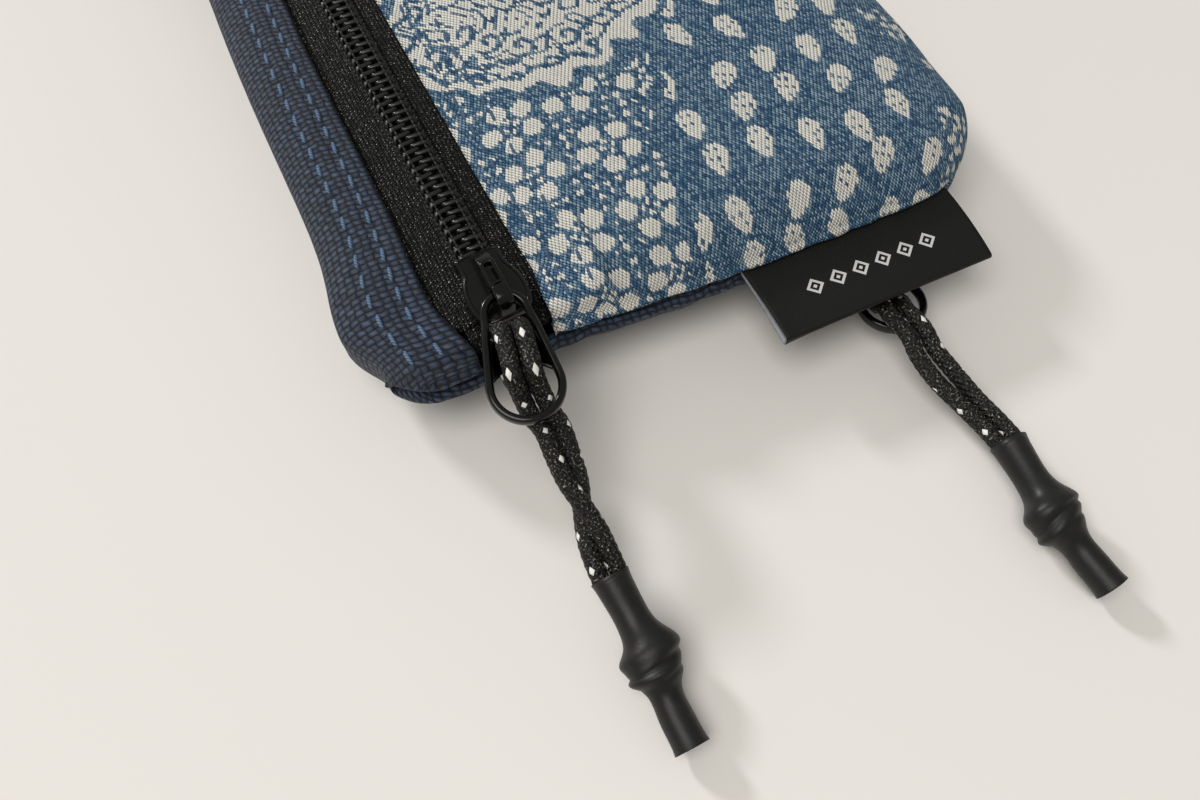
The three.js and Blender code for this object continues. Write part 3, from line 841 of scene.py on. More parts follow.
@dataclass
class Skin:
    """Points, faces and flat coordinates of a mesh under construction, in millimetres."""

    points: list[Array] = field(default_factory=list)
    faces: list[list[int]] = field(default_factory=list)
    flats: list[Array] = field(default_factory=list)

    @property
    def count(self) -> int:
        """How many points it has."""
        return sum(len(p) for p in self.points)

    def add(self, points: Array, faces: Array, flats: Optional[Array] = None) -> None:
        """Adds points with their faces, which count from the first of these points.

        Args:
            points: The points.
            faces: The faces.
            flats: Their flat coordinates, or none for their X and Y.
        """
        start = self.count
        points = np.asarray(points, float).reshape(-1, 3)
        self.points.append(points)
        self.faces.extend([[int(i) + start for i in face] for face in faces])
        self.flats.append(np.asarray(flats, float).reshape(-1, 2) if flats is not None else points[:, :2])

    def add_shell(self, outer: Array, inner: Array, flats: Array, flip: bool = False,
                  inner_flats: Optional[Array] = None) -> None:
        """Adds a closed sheet between two grids of points, with a rim round its four edges.

        Args:
            outer: The outer points, as rows by columns.
            inner: The inner points, in the same order.
            flats: The flat coordinates of the outer points.
            flip: Whether the faces turn the other way.
            inner_flats: The flat coordinates of the inner points, where they have their own.
        """
        rows, columns = outer.shape[:2]
        count = rows * columns
        faces = grid_faces(rows, columns, False, flip).tolist()
        faces += (grid_faces(rows, columns, False, not flip) + count).tolist()
        border = [(0, c) for c in range(columns)] + [(r, columns - 1) for r in range(1, rows)]
        border += [(rows - 1, c) for c in range(columns - 2, -1, -1)] + [(r, 0) for r in range(rows - 2, 0, -1)]
        ids = [r * columns + c for r, c in border]
        for a, b in zip(ids, ids[1:] + ids[:1]):
            quad = [b, a, a + count, b + count]
            faces.append(quad[::-1] if flip else quad)
        under = flats if inner_flats is None else inner_flats
        self.add(np.concatenate([outer.reshape(-1, 3), inner.reshape(-1, 3)]), faces,
                 np.concatenate([flats.reshape(-1, 2), under.reshape(-1, 2)]))

    def piece(self, name: str, finish: str, body: str, *nodes: str) -> bpy.types.Object:
        """Makes the object, dresses it and lets it ride.

        Args:
            name: The object's name.
            finish: The finish it takes.
            body: The CAD body that it rides on.
            nodes: The CAD nodes that it replaces.

        Returns:
            The finished object.
        """
        mesh = bpy.data.meshes.new(name)
        points = np.concatenate(self.points)
        flats = np.concatenate(self.flats)
        mesh.from_pydata((points * MM).tolist(), [], self.faces)
        layer = mesh.uv_layers.new(name="flat")
        loops = np.zeros(len(mesh.loops), np.int32)
        mesh.loops.foreach_get("vertex_index", loops)
        layer.data.foreach_set("uv", flats[loops].astype(np.float32).ravel())
        mesh.polygons.foreach_set("use_smooth", [True] * len(mesh.polygons))
        mesh.update()
        made = put(name, mesh)
        made.data.materials.append(finish_of(finish))
        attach(made, body)
        if nodes:
            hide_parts(*nodes)
        LOG.info("%s: %d points, %d faces, on %s", name, len(points), len(self.faces), body)
        return made


def grid_faces(rows: int, columns: int, loop: bool = False, flip: bool = False) -> Array:
    """The quads of a grid of points in row order.

    Args:
        rows: How many rows.
        columns: How many points in a row.
        loop: Whether each row closes on itself.
        flip: Whether the faces turn the other way.

    Returns:
        An array with four point numbers a face.
    """
    r, c = np.meshgrid(np.arange(rows - 1), np.arange(columns if loop else columns - 1), indexing="ij")
    n = (c + 1) % columns
    quads = np.stack([r * columns + c, r * columns + n, (r + 1) * columns + n, (r + 1) * columns + c], -1)
    quads = quads.reshape(-1, 4)
    return quads[:, ::-1] if flip else quads


def smooth_share(low: float, high: float, value: Array) -> Array:
    """0 below low, 1 above high, smooth between."""
    t = np.clip((value - low) / (high - low), 0, 1)
    return t * t * (3 - 2 * t)


def bell(value: Array, middle: float, width: float) -> Array:
    """A bell-shaped share that is 1 at its middle."""
    return np.exp(-((value - middle) / width) ** 2)


def spread(count: int) -> Array:
    """Shares from -1 to 1, closer together towards both ends."""
    return np.sin(np.linspace(-1, 1, count) * math.pi / 2 * 0.9) / math.sin(math.pi / 2 * 0.9)


def eased(start: float, end: float, count: int) -> Array:
    """Places from start to end, closer together towards the end."""
    return end + (start - end) * np.linspace(1, 0, count) ** 2.2


def unit_rows(rows: Array) -> Array:
    """Each row as a direction of length 1."""
    return rows / np.maximum(np.linalg.norm(rows, axis=1, keepdims=True), 1e-9)


def points_at(where: Array, along: Array, points: Array) -> Array:
    """Points of a line at other values of a coordinate that rises along it."""
    return np.stack([np.interp(where, along, points[:, k]) for k in range(3)], 1)


def run_of(line: Array) -> Array:
    """The distance along a line at each of its points."""
    return np.concatenate([[0], np.cumsum(np.linalg.norm(np.diff(line, axis=0), axis=1))])


def curve(points: Course, count: int, closed: bool = False) -> Array:
    """A centripetal Catmull-Rom curve through points, evenly spaced along its length.

    Args:
        points: The points it goes through.
        count: How many points to return.
        closed: Whether it closes on itself.

    Returns:
        The points of the curve.
    """
    p = np.asarray(points, float)
    if closed:
        p = np.concatenate([p[-1:], p, p[:2]])
    else:
        p = np.concatenate([[2 * p[0] - p[1]], p, [2 * p[-1] - p[-2]]])
    dense = []
    for a, b, c, d in zip(p, p[1:], p[2:], p[3:]):
        t1 = max(np.linalg.norm(b - a) ** 0.5, 1e-6)
        t2 = t1 + max(np.linalg.norm(c - b) ** 0.5, 1e-6)
        t3 = t2 + max(np.linalg.norm(d - c) ** 0.5, 1e-6)
        t = np.linspace(t1, t2, CURVE_STEPS, endpoint=False)[:, None]
        a1 = (t1 - t) / t1 * a + t / t1 * b
        a2 = (t2 - t) / (t2 - t1) * b + (t - t1) / (t2 - t1) * c
        a3 = (t3 - t) / (t3 - t2) * c + (t - t2) / (t3 - t2) * d
        b1 = (t2 - t) / t2 * a1 + t / t2 * a2
        b2 = (t3 - t) / (t3 - t1) * a2 + (t - t1) / (t3 - t1) * a3
        dense.append((t2 - t) / (t2 - t1) * b1 + (t - t1) / (t2 - t1) * b2)
    line = np.concatenate([*dense, p[-2:-1]])
    run = run_of(line)
    at = np.linspace(0, run[-1], count + 1)[:-1] if closed else np.linspace(0, run[-1], count)
    return np.stack([np.interp(at, run, line[:, k]) for k in range(line.shape[1])], 1)


def length_of(line: Array) -> float:
    """The length of a line of points."""
    return float(np.linalg.norm(np.diff(line, axis=0), axis=1).sum())


def frames_along(line: Array) -> tuple[Array, Array]:
    """Two directions square to a line at each of its points, without twist.

    Args:
        line: The points.

    Returns:
        The two directions at each point.
    """
    ways = np.gradient(line, axis=0)
    ways /= np.linalg.norm(ways, axis=1, keepdims=True)
    first = np.cross(ways[0], [0.0, 0.0, 1.0])
    first /= np.linalg.norm(first)
    sides = [first]
    for way in ways[1:]:
        side = sides[-1] - way * (sides[-1] @ way)
        sides.append(side / np.linalg.norm(side))
    sides = np.array(sides)
    return sides, np.cross(ways, sides)


def tube(skin: Skin, line: Array, radius: Union[float, Callable[[Array, Array], Array]], sides: int,
         capped: bool = True, inward: bool = False) -> None:
    """Adds a tube along a line.

    Args:
        skin: Where it is added.
        line: The points down its middle.
        radius: Its radius, or a function of the distance along and the angle round.
        sides: How many sides it has.
        capped: Whether its ends are closed.
        inward: Whether its faces look inwards.
    """
    a, b = frames_along(line)
    run = run_of(line)
    angle = np.arange(sides) / sides * 2 * math.pi
    far = radius(run[:, None], angle[None, :]) if callable(radius) else np.full((len(line), sides), float(radius))
    points = line[:, None] + far[..., None] * (
        a[:, None] * np.cos(angle)[None, :, None] + b[:, None] * np.sin(angle)[None, :, None])
    mean = float(np.mean(far))
    steps = np.arange(sides)
    if sides < WIDE_TUBE_SIDES:
        # The flat coordinate of a thin tube runs up one side and down the other, so it has no seam.
        steps = np.minimum(steps, sides - steps)
    turn = steps / sides * 2 * math.pi * mean
    flats = np.stack([np.broadcast_to(turn, far.shape), np.broadcast_to(run[:, None], far.shape)], -1)
    faces = grid_faces(len(line), sides, True, inward).tolist()
    if capped:
        ends = [list(range(sides))[::-1], [(len(line) - 1) * sides + k for k in range(sides)]]
        faces += [end[::-1] for end in ends] if inward else ends
    skin.add(points, faces, flats)


def stitches(skin: Skin, starts: Array, ends: Array, lifts: Array, radius: float) -> None:
    """Adds sewing stitches, each a short thread that rises from the cloth and goes back in.

    Args:
        skin: Where they are added.
        starts: Where each comes out.
        ends: Where each goes in.
        lifts: The way out of the cloth at each.
        radius: The thread's radius.
    """
    for start, end, lift in zip(starts, ends, lifts):
        shares = np.linspace(0, 1, STITCH_STEPS)
        arch = 1 - np.abs(2 * shares - 1) ** 3
        line = start + (end - start) * shares[:, None] + lift * ((arch * 1.1 - 0.75) * radius)[:, None]
        way = (end - start) / np.linalg.norm(end - start)
        side = np.cross(lift, way)
        angle = np.arange(STITCH_SIDES) / STITCH_SIDES * 2 * math.pi
        far = radius * (0.55 + 0.45 * arch)
        ring = side * np.cos(angle)[:, None] + lift * np.sin(angle)[:, None] * 0.8
        points = line[:, None] + far[:, None, None] * ring[None]
        flats = np.stack(np.meshgrid(angle * radius, shares * 3.0), -1)
        faces = grid_faces(STITCH_STEPS, STITCH_SIDES, True).tolist()
        ring_ids = list(range(STITCH_SIDES))
        faces += [ring_ids[::-1], [(STITCH_STEPS - 1) * STITCH_SIDES + k for k in ring_ids]]
        skin.add(points, faces, flats)


def prism(skin: Skin, outline: Array, low: float, high: float, bevel: float,
          place: Place, steps: int = 3) -> None:
    """Adds a plate with rounded edges.

    Args:
        skin: Where it is added.
        outline: Its plan outline, anticlockwise seen from its high side.
        low: Its lowest height.
        high: Its highest height.
        bevel: The radius of its rounded edges.
        place: Turns its own points into the pouch's frame.
        steps: How many steps round an edge.
    """
    count = len(outline)
    ahead = np.roll(outline, -1, 0) - outline
    behind = outline - np.roll(outline, 1, 0)
    out = unit_rows(unit_rows(ahead)[:, ::-1] * [1, -1] + unit_rows(behind)[:, ::-1] * [1, -1])
    rings = []
    for k in range(steps + 1):
        a = k / steps * math.pi / 2
        rings.append((1 - math.sin(a), low + bevel * (1 - math.cos(a))))
    rings += [(inset, low + high - z) for inset, z in rings[::-1]]
    points = np.concatenate([
        np.concatenate([outline - out * bevel * inset, np.full((count, 1), z)], 1) for inset, z in rings])
    faces = grid_faces(len(rings), count, True).tolist()
    faces += [list(range(count))[::-1], [(len(rings) - 1) * count + k for k in range(count)]]
    skin.add(place(points), faces, points[:, :2])


def ring_sweep(skin: Skin, outline: Array, width: Array, height: Array, place: Place,
               power: float = 3.0) -> None:
    """Adds a closed rim with a rounded section along a plan outline.

    Args:
        skin: Where it is added.
        outline: The middle line of the rim, anticlockwise.
        width: The rim's width at each point.
        height: The rim's height at each point.
        place: Turns its own points into the pouch's frame.
        power: 2 for a round section, more for a squarer one.
    """
    ahead = np.roll(outline, -1, 0) - np.roll(outline, 1, 0)
    out = ahead[:, ::-1] * [1, -1]
    out /= np.linalg.norm(out, axis=1, keepdims=True)
    angle = np.arange(RIM_SIDES) / RIM_SIDES * 2 * math.pi
    cos, sin = np.cos(angle), np.sin(angle)
    across = np.sign(cos) * np.abs(cos) ** (2 / power)
    up = np.sign(sin) * np.abs(sin) ** (2 / power)
    flat = outline[:, None] + out[:, None] * (across[None, :, None] * width[:, None, None] / 2)
    points = np.concatenate([flat, (up[None] * height[:, None] / 2)[..., None]], -1).reshape(-1, 3)
    rows = len(outline)
    faces = grid_faces(rows, RIM_SIDES, True, True)
    here = np.arange(RIM_SIDES)
    after = (here + 1) % RIM_SIDES
    end = (rows - 1) * RIM_SIDES
    last = np.stack([end + here, end + after, after, here], -1)[:, ::-1]
    skin.add(place(points), faces.tolist() + last.tolist(), points[:, :2])


# The pouch's cloth, on the same surface as its CAD panels


def half_length(x: Array) -> Array:
    """Half the pouch's length at x."""
    return LENGTH / 2 - BOW * (2 * x / WIDTH) ** 2


def valley(x: Array, zip_x: float, low_gap: float, high_gap: float) -> Array:
    """The share by which a zip draws the cloth at x into its valley."""
    beyond = np.maximum(np.maximum(zip_x - low_gap - x, x - zip_x - high_gap), 0)
    return 1 - smooth_share(0, VALLEY_BLEND, beyond)


def cloth_heights(x: Array, along: Array) -> tuple[Array, Array]:
    """Heights of the front and the back cloth at x and a share of the half length.

    Args:
        x: Places across.
        along: Shares of the half length.

    Returns:
        The front's and the back's heights.
    """
    bulge = np.sqrt(np.maximum(0, 1 - np.abs(2 * x / WIDTH) ** SECTION_POWER))
    heights = []
    for front in (True, False):
        if front:
            draw = valley(x, FRONT_ZIP_X, NARROW_GAP, WIDE_GAP)
            crown = THICKNESS - SEAM - SEAM_HALF_GAP
            lip = FRONT_COIL_TOP - COIL_HEIGHT + CLOTH - SEAM - SEAM_HALF_GAP
        else:
            draw = valley(x, BACK_ZIP_X, WIDE_GAP, NARROW_GAP)
            crown = SEAM - SEAM_HALF_GAP + REST_PRESS
            lip = SEAM - SEAM_HALF_GAP - (BACK_COIL_TOP + COIL_HEIGHT - CLOTH)
        rise = crown * bulge * (1 - draw) + lip * draw
        power = END_POWER + (ZIP_END_POWER - END_POWER) * smooth_share(0, 0.5, draw)
        rise = rise * np.sqrt(np.maximum(0, 1 - np.abs(along) ** power))
        heights.append(SEAM + SEAM_HALF_GAP + rise if front else np.maximum(0, SEAM - SEAM_HALF_GAP - rise))
    return heights[0], heights[1]


def cloth_points(x: Array, turn: Array, along: Array) -> Array:
    """Points of the cloth. turn is 1 on the front, -1 on the back and between them round a fold.

    Args:
        x: Places across.
        turn: The side of each.
        along: Shares of the half length.

    Returns:
        The points.
    """
    narrowed = 1 - CORNER_NARROWING * np.abs(along) ** PLAN_POWER
    across = np.sign(x) * np.minimum(np.abs(x), WIDTH / 2) * narrowed
    y = along * half_length(x) + SHEAR * x
    front, back = cloth_heights(x, along)
    share = (turn + 1) / 2
    return np.stack([across, y, front * share + back * (1 - share)], -1)


@dataclass
class Panel:
    """One cloth panel: from the front zip's lip round a fold to the back zip's lip."""

    name: str
    fold: Side
    front_x: float
    back_x: float
    finish: str
    thread: str
    spacing: float = 0.62
    turn_rows: int = 8
    samples: int = 1500
    fold_samples: int = 60
    coarse_rows: int = 61
    coarse_step: int = 3
    thickness: float = 0.85
    first_row: float = 2.35
    second_row: float = 5.55
    stitch_pitch: float = 3.0
    stitch_gap: float = 0.75
    stitch_lean: float = 0.14
    thread_radius: float = 0.27
    hem: float = 0.55
    corner: float = 6.0
    narrowing: float = 0.045
    plump: float = 0.0
    dip: float = 0.0
    corner_smoothing: int = 16
    waist: float = 0.0
    lean: float = 1.5
    rumple: float = 0.10
    sunk: float = 1.0

    def route(self) -> tuple[Array, Array, Array]:
        """Places across the panel, evenly spaced along its middle section.

        Returns:
            x, turn and the distance from the front lip, for each column.
        """
        edge = self.fold.value * WIDTH / 2
        front, back = (eased(lip, edge, self.samples) for lip in (self.front_x, self.back_x))
        x = np.concatenate([front, np.full(self.fold_samples, edge), back[::-1]])
        flat = np.ones(self.samples)
        turn = np.concatenate([flat, np.linspace(1, -1, self.fold_samples), -flat])
        points = cloth_points(x, turn, np.zeros_like(x))
        points[:, 1] = 0
        run = run_of(points)
        at = np.linspace(0, run[-1], int(run[-1] / self.spacing) + 1)
        return np.interp(at, run, x), np.interp(at, run, turn), at

    def rows(self) -> tuple[Array, Array]:
        """Shares of the half length for each row, and how far each row is turned in at the ends.

        Returns:
            The shares and the turns.
        """
        count = int(LENGTH / (self.spacing * 1.35))
        middle = spread(count)
        ends = np.linspace(0, 1, self.turn_rows + 1)[1:]
        along = np.concatenate([-np.ones(self.turn_rows), middle, np.ones(self.turn_rows)])
        tuck = np.concatenate([ends[::-1], np.zeros(count), ends])
        return along, tuck

    def surface(self) -> tuple[Array, Array]:
        """The panel's outer surface.

        Returns:
            Points as rows by columns, and their flat coordinates.
        """
        x, turn, run = self.route()
        along, tuck = self.rows()
        grid_x, grid_along = np.meshgrid(x, along)
        grid_turn = np.broadcast_to(turn, grid_x.shape)
        points = cloth_points(grid_x, grid_turn, grid_along) + self.settled(grid_x.shape)
        self.fit_plan(points, grid_x, grid_along)
        points[..., 0] += self.hug(grid_along, run)
        way = self.round_corners(points, grid_along)
        fold_in = np.broadcast_to(tuck[:, None], grid_x.shape)
        seam = SEAM + grid_turn * 0.16
        points[..., 2] += (seam - points[..., 2]) * smooth_share(0, 1, fold_in)
        swell = (0.95 - 0.2 * grid_turn) * (0.45 + 0.55 * np.abs(grid_turn))
        swell = swell * (1 - 1.4 * np.abs(way[..., 0] * way[..., 1]))
        points[..., :2] += way * (np.sin(fold_in * math.pi) * swell - fold_in ** 2 * 0.85)[..., None]
        points += self.puckers(run, points, grid_turn, tuck)
        cornered = 1.6 * np.abs(way[..., 0] * way[..., 1])[1:-1, 1:-1, None]
        for _ in range(self.corner_smoothing):
            around = (points[:-2, 1:-1] + points[2:, 1:-1] + points[1:-1, :-2] + points[1:-1, 2:]) / 4
            points[1:-1, 1:-1] += (around - points[1:-1, 1:-1]) * cornered
        points[..., 2] = np.maximum(points[..., 2], TABLE_CLEARANCE)
        steps = np.linalg.norm(np.diff(points, axis=0), axis=2)
        length = np.concatenate([np.zeros((1, points.shape[1])), np.cumsum(steps, axis=0)])
        length -= length[len(length) // 2]
        flats = np.stack(np.broadcast_arrays(run[None, :], length), -1)
        return points, flats

    def fit_plan(self, points: Array, grid_x: Array, along: Array) -> None:
        """Gives the panel its fuller corners, swollen side, lower corner and waist in plan, in place.

        Args:
            points: Its points, as rows by columns.
            grid_x: Each point's place across before any move.
            along: Each point's share of the half length.
        """
        points[..., 0] *= 1 + (CORNER_NARROWING - self.narrowing) * np.abs(along) ** PLAN_POWER
        beside = smooth_share(0.6, 1.0, np.abs(grid_x) * 2 / WIDTH)
        points[..., 0] += np.sign(points[..., 0]) * (self.plump * bell(along, -0.88, 0.16) * beside)
        at_fold = smooth_share(0.35, 0.95, grid_x * self.fold.value * 2 / WIDTH)
        points[..., 1] -= self.dip * smooth_share(0.78, 1.0, -along) * at_fold
        points[..., 0] -= self.waist * self.fold.value * bell(along, 0.34, 0.36) * at_fold

    def hug(self, along: Array, run: Array) -> Array:
        """How far the front lip leans towards the zip at its ends, where the slider parks."""
        near = smooth_share(0.86, 1.0, np.abs(along)) * np.exp(-run / 5.0)[None, :]
        return near * self.lean * -self.fold.value

    def round_corners(self, points: Array, along: Array) -> Array:
        """Rounds the panel's corners in plan, in place.

        Args:
            points: Its points, as rows by columns.
            along: Each point's share of the half length.

        Returns:
            The way out of the outline in plan at each point.
        """
        x, y = points[..., 0], points[..., 1]
        level = y - SHEAR * x
        reach = np.abs(x).max(axis=1, keepdims=True)
        p = np.clip(1 - (reach - np.abs(x)) / self.corner, 0, 1)
        q = np.clip(1 - (half_length(x) - np.abs(level)) / self.corner, 0, 1)
        to_x = p * np.sqrt(1 - q * q / 2)
        to_y = q * np.sqrt(1 - p * p / 2)
        points[..., 0] = x + np.sign(x) * (to_x - p) * self.corner
        points[..., 1] = y + np.sign(level) * (to_y - q) * self.corner
        way = np.stack([np.sign(x) * to_x, np.sign(level) * np.maximum(to_y, 1e-3)], -1)
        return way / np.linalg.norm(way, axis=-1, keepdims=True)

    def settled(self, shape: tuple[int, int]) -> Array:
        """How far the stuffed cloth moves from the CAD surface, by a cloth simulation on a coarser grid.

        Args:
            shape: Rows and columns of the fine grid.

        Returns:
            A move for each fine point.
        """
        x, turn, _ = self.route()
        x, turn = x[::self.coarse_step], turn[::self.coarse_step]
        along = spread(self.coarse_rows)
        grid_x, grid_along = np.meshgrid(x, along)
        grid_turn = np.broadcast_to(turn, grid_x.shape)
        start = cloth_points(grid_x, grid_turn, grid_along)
        moved = CLOTH_PRESS.run(start, self.fold is Side.LEFT)
        move = moved - start
        size = np.linalg.norm(move, axis=-1, keepdims=True)
        move *= np.minimum(1, CLOTH_PRESS.cap / np.maximum(size, 1e-9))
        for _ in range(CLOTH_PRESS.smoothing):
            move[1:-1] = (move[:-2] + 2 * move[1:-1] + move[2:]) / 4
            move[:, 1:-1] = (move[:, :-2] + 2 * move[:, 1:-1] + move[:, 2:]) / 4
        fine_columns = np.linspace(0, 1, shape[1])
        coarse_columns = fine_columns[::self.coarse_step]
        fine_rows = np.concatenate([-np.ones(self.turn_rows), np.linspace(-1, 1, shape[0] - 2 * self.turn_rows),
                                    np.ones(self.turn_rows)])
        result = np.zeros((*shape, 3))
        for k in range(3):
            wide = np.stack([np.interp(fine_columns, coarse_columns, row) for row in move[..., k]])
            result[..., k] = np.stack([np.interp(fine_rows, np.linspace(-1, 1, len(along)), column)
                                       for column in wide.T], 1)
        return result

    def puckers(self, run: Array, points: Array, turn: Array, tuck: Array) -> Array:
        """Small moves of the cloth at its stitch rows and along its sewn end.

        Args:
            run: Each column's distance from the front lip.
            points: The panel's points.
            turn: The side of each.
            tuck: How far each row is turned in.

        Returns:
            A move for each point.
        """
        total = run[-1]
        from_lip = np.minimum(run, total - run)[None, :]
        y = points[..., 1]
        beat = 0.5 + 0.5 * np.cos(y * 2 * math.pi / self.stitch_pitch)
        uneven = 0.75 + 0.35 * np.sin(y * 0.71 + 2.0) * np.sin(y * 0.29)
        groove = np.zeros_like(y)
        for row in (self.first_row, self.second_row):
            groove -= bell(from_lip, row, 0.55) * (0.20 + 0.14 * beat) * uneven * self.sunk
        swell = bell(from_lip, (self.first_row + self.second_row) / 2, 0.9) * 0.12
        hem = -bell(from_lip, 0, self.hem) * 0.30
        wander = np.sin(y * 0.83 + from_lip * 0.9) * np.sin(y * 0.37 + 1.3) * self.rumple * np.exp(-from_lip / 6.0)
        to_end = np.maximum(0, half_length(points[..., 0]) - np.abs(y - SHEAR * points[..., 0]))
        gathers = np.sin(points[..., 0] * 0.95 + np.sin(points[..., 0] * 0.31) * 2.0) * 0.13 * np.exp(-to_end / 3.2)
        height = (groove + swell + hem + wander + gathers) * np.abs(turn) * (1 - tuck[:, None]) ** 0.5
        return self.normals(points) * height[..., None]

    def normals(self, points: Array) -> Array:
        """The way out of the cloth at each point.

        Args:
            points: The points, as rows by columns.

        Returns:
            A direction of length 1 for each.
        """
        rows = np.gradient(points, axis=0)
        columns = np.gradient(points, axis=1)
        out = np.cross(columns, rows) * (1 if self.fold is Side.RIGHT else -1)
        return out / np.maximum(np.linalg.norm(out, axis=-1, keepdims=True), 1e-9)

    def build(self) -> bpy.types.Object:
        """Makes the panel as a closed shell with rounded lips.

        Returns:
            The panel.
        """
        points, flats = self.surface()
        out = self.normals(points)
        inner = points - out * self.thickness
        inner[..., 2] = np.maximum(inner[..., 2], TABLE_CLEARANCE + self.thickness * 0.5)
        skin = Skin()
        skin.add_shell(points, inner, flats, self.fold is Side.LEFT)
        made = skin.piece(self.name, self.finish, "pouch", self.name)
        self.sew(points, out)
        return made

    def sew(self, points: Array, out: Array) -> None:
        """Adds the topstitching along both lips.

        Args:
            points: The panel's outer points.
            out: The way out of the cloth at each.
        """
        _, _, run = self.route()
        skin = Skin()
        reach = slice(self.turn_rows + 2, -self.turn_rows - 2)
        for at in (self.first_row, self.second_row, run[-1] - self.first_row, run[-1] - self.second_row):
            column = int(round(at / (run[1] - run[0])))
            line, lift = points[reach, column], out[reach, column]
            y = line[:, 1]
            starts = np.arange(y[0] + 0.6, y[-1] - self.stitch_pitch, self.stitch_pitch) + (at % 1.0)
            ends = starts + self.stitch_pitch - self.stitch_gap
            lean = np.array([self.stitch_lean, 0, 0])
            stitches(skin, points_at(starts, y, line) - lean, points_at(ends, y, line) + lean,
                     points_at((starts + ends) / 2, y, lift), self.thread_radius)
        skin.piece(f"{self.name}_topstitch", self.thread, "pouch")


@dataclass
class ClothPress:
    """A short cloth simulation that fills a panel out between its sewn edges."""

    frames: int = 18
    pressure: float = 3.2
    growth: float = 0.022
    cap: float = 1.0
    smoothing: int = 4
    quality: int = 5
    mass: float = 0.4
    stiffness: float = 22.0
    bending: float = 1.6
    scale: float = 0.01
    pinned_rows: int = 2
    pinned_columns: int = 5

    def run(self, start: Array, flip: bool) -> Array:
        """Fills a panel out.

        Args:
            start: Its points, as rows by columns, in millimetres.
            flip: Whether the faces turn the other way.

        Returns:
            The points after the simulation.
        """
        rows, columns = start.shape[:2]
        mesh = bpy.data.meshes.new("press")
        faces = grid_faces(rows, columns, False, flip)
        mesh.from_pydata((start.reshape(-1, 3) * self.scale).tolist(), [], faces.tolist())
        made = put("press", mesh)
        pins = made.vertex_groups.new(name="pins")
        edge = np.ones((rows, columns), bool)
        edge[self.pinned_rows:-self.pinned_rows, self.pinned_columns:-self.pinned_columns] = False
        pins.add(np.flatnonzero(edge).tolist(), 1.0, "REPLACE")
        cloth = made.modifiers.new("cloth", "CLOTH")
        cloth.settings.quality = self.quality
        cloth.settings.mass = self.mass
        cloth.settings.tension_stiffness = self.stiffness
        cloth.settings.compression_stiffness = self.stiffness
        cloth.settings.bending_stiffness = self.bending
        cloth.settings.vertex_group_mass = "pins"
        cloth.settings.use_pressure = True
        cloth.settings.uniform_pressure_force = self.pressure
        cloth.settings.shrink_min = -self.growth
        cloth.settings.effector_weights.gravity = 0
        cloth.collision_settings.use_self_collision = False
        for step in range(1, self.frames + 1):
            bpy.context.scene.frame_set(step)
        ready = made.evaluated_get(bpy.context.evaluated_depsgraph_get())
        result = np.zeros(rows * columns * 3, np.float32)
        ready.data.vertices.foreach_get("co", result)
        bpy.data.objects.remove(made)
        bpy.context.scene.frame_set(1)
        return result.reshape(rows, columns, 3).astype(float) / self.scale


CLOTH_PRESS = ClothPress()


# Zips

# Half of the cord's way through the pull: the part across that mirrors, the height out of the pull, the
# distance from its axis, and the part across that doesn't mirror

HITCH = [
    [1.15, -2.2, 14.3, 1.0], [1.15, -1.45, 12.8, 0.6], [1.15, -0.1, 11.4, 0.2], [1.15, 1.2, 10.3, 0],
    [1.15, 1.55, 9.0, 0], [1.15, 1.55, 7.5, 0], [1.15, 1.55, 6.2, 0], [1.15, 1.1, 5.0, 0],
    [1.15, 0, 4.45, 0], [1.15, -1.1, 5.0, 0], [1.15, -1.55, 6.2, 0], [1.15, -1.6, 7.5, 0],
    [1.2, -1.95, 9.0, 0], [0.85, -2.45, 10.2, 0], [0, -2.6, 10.6, 0],
]


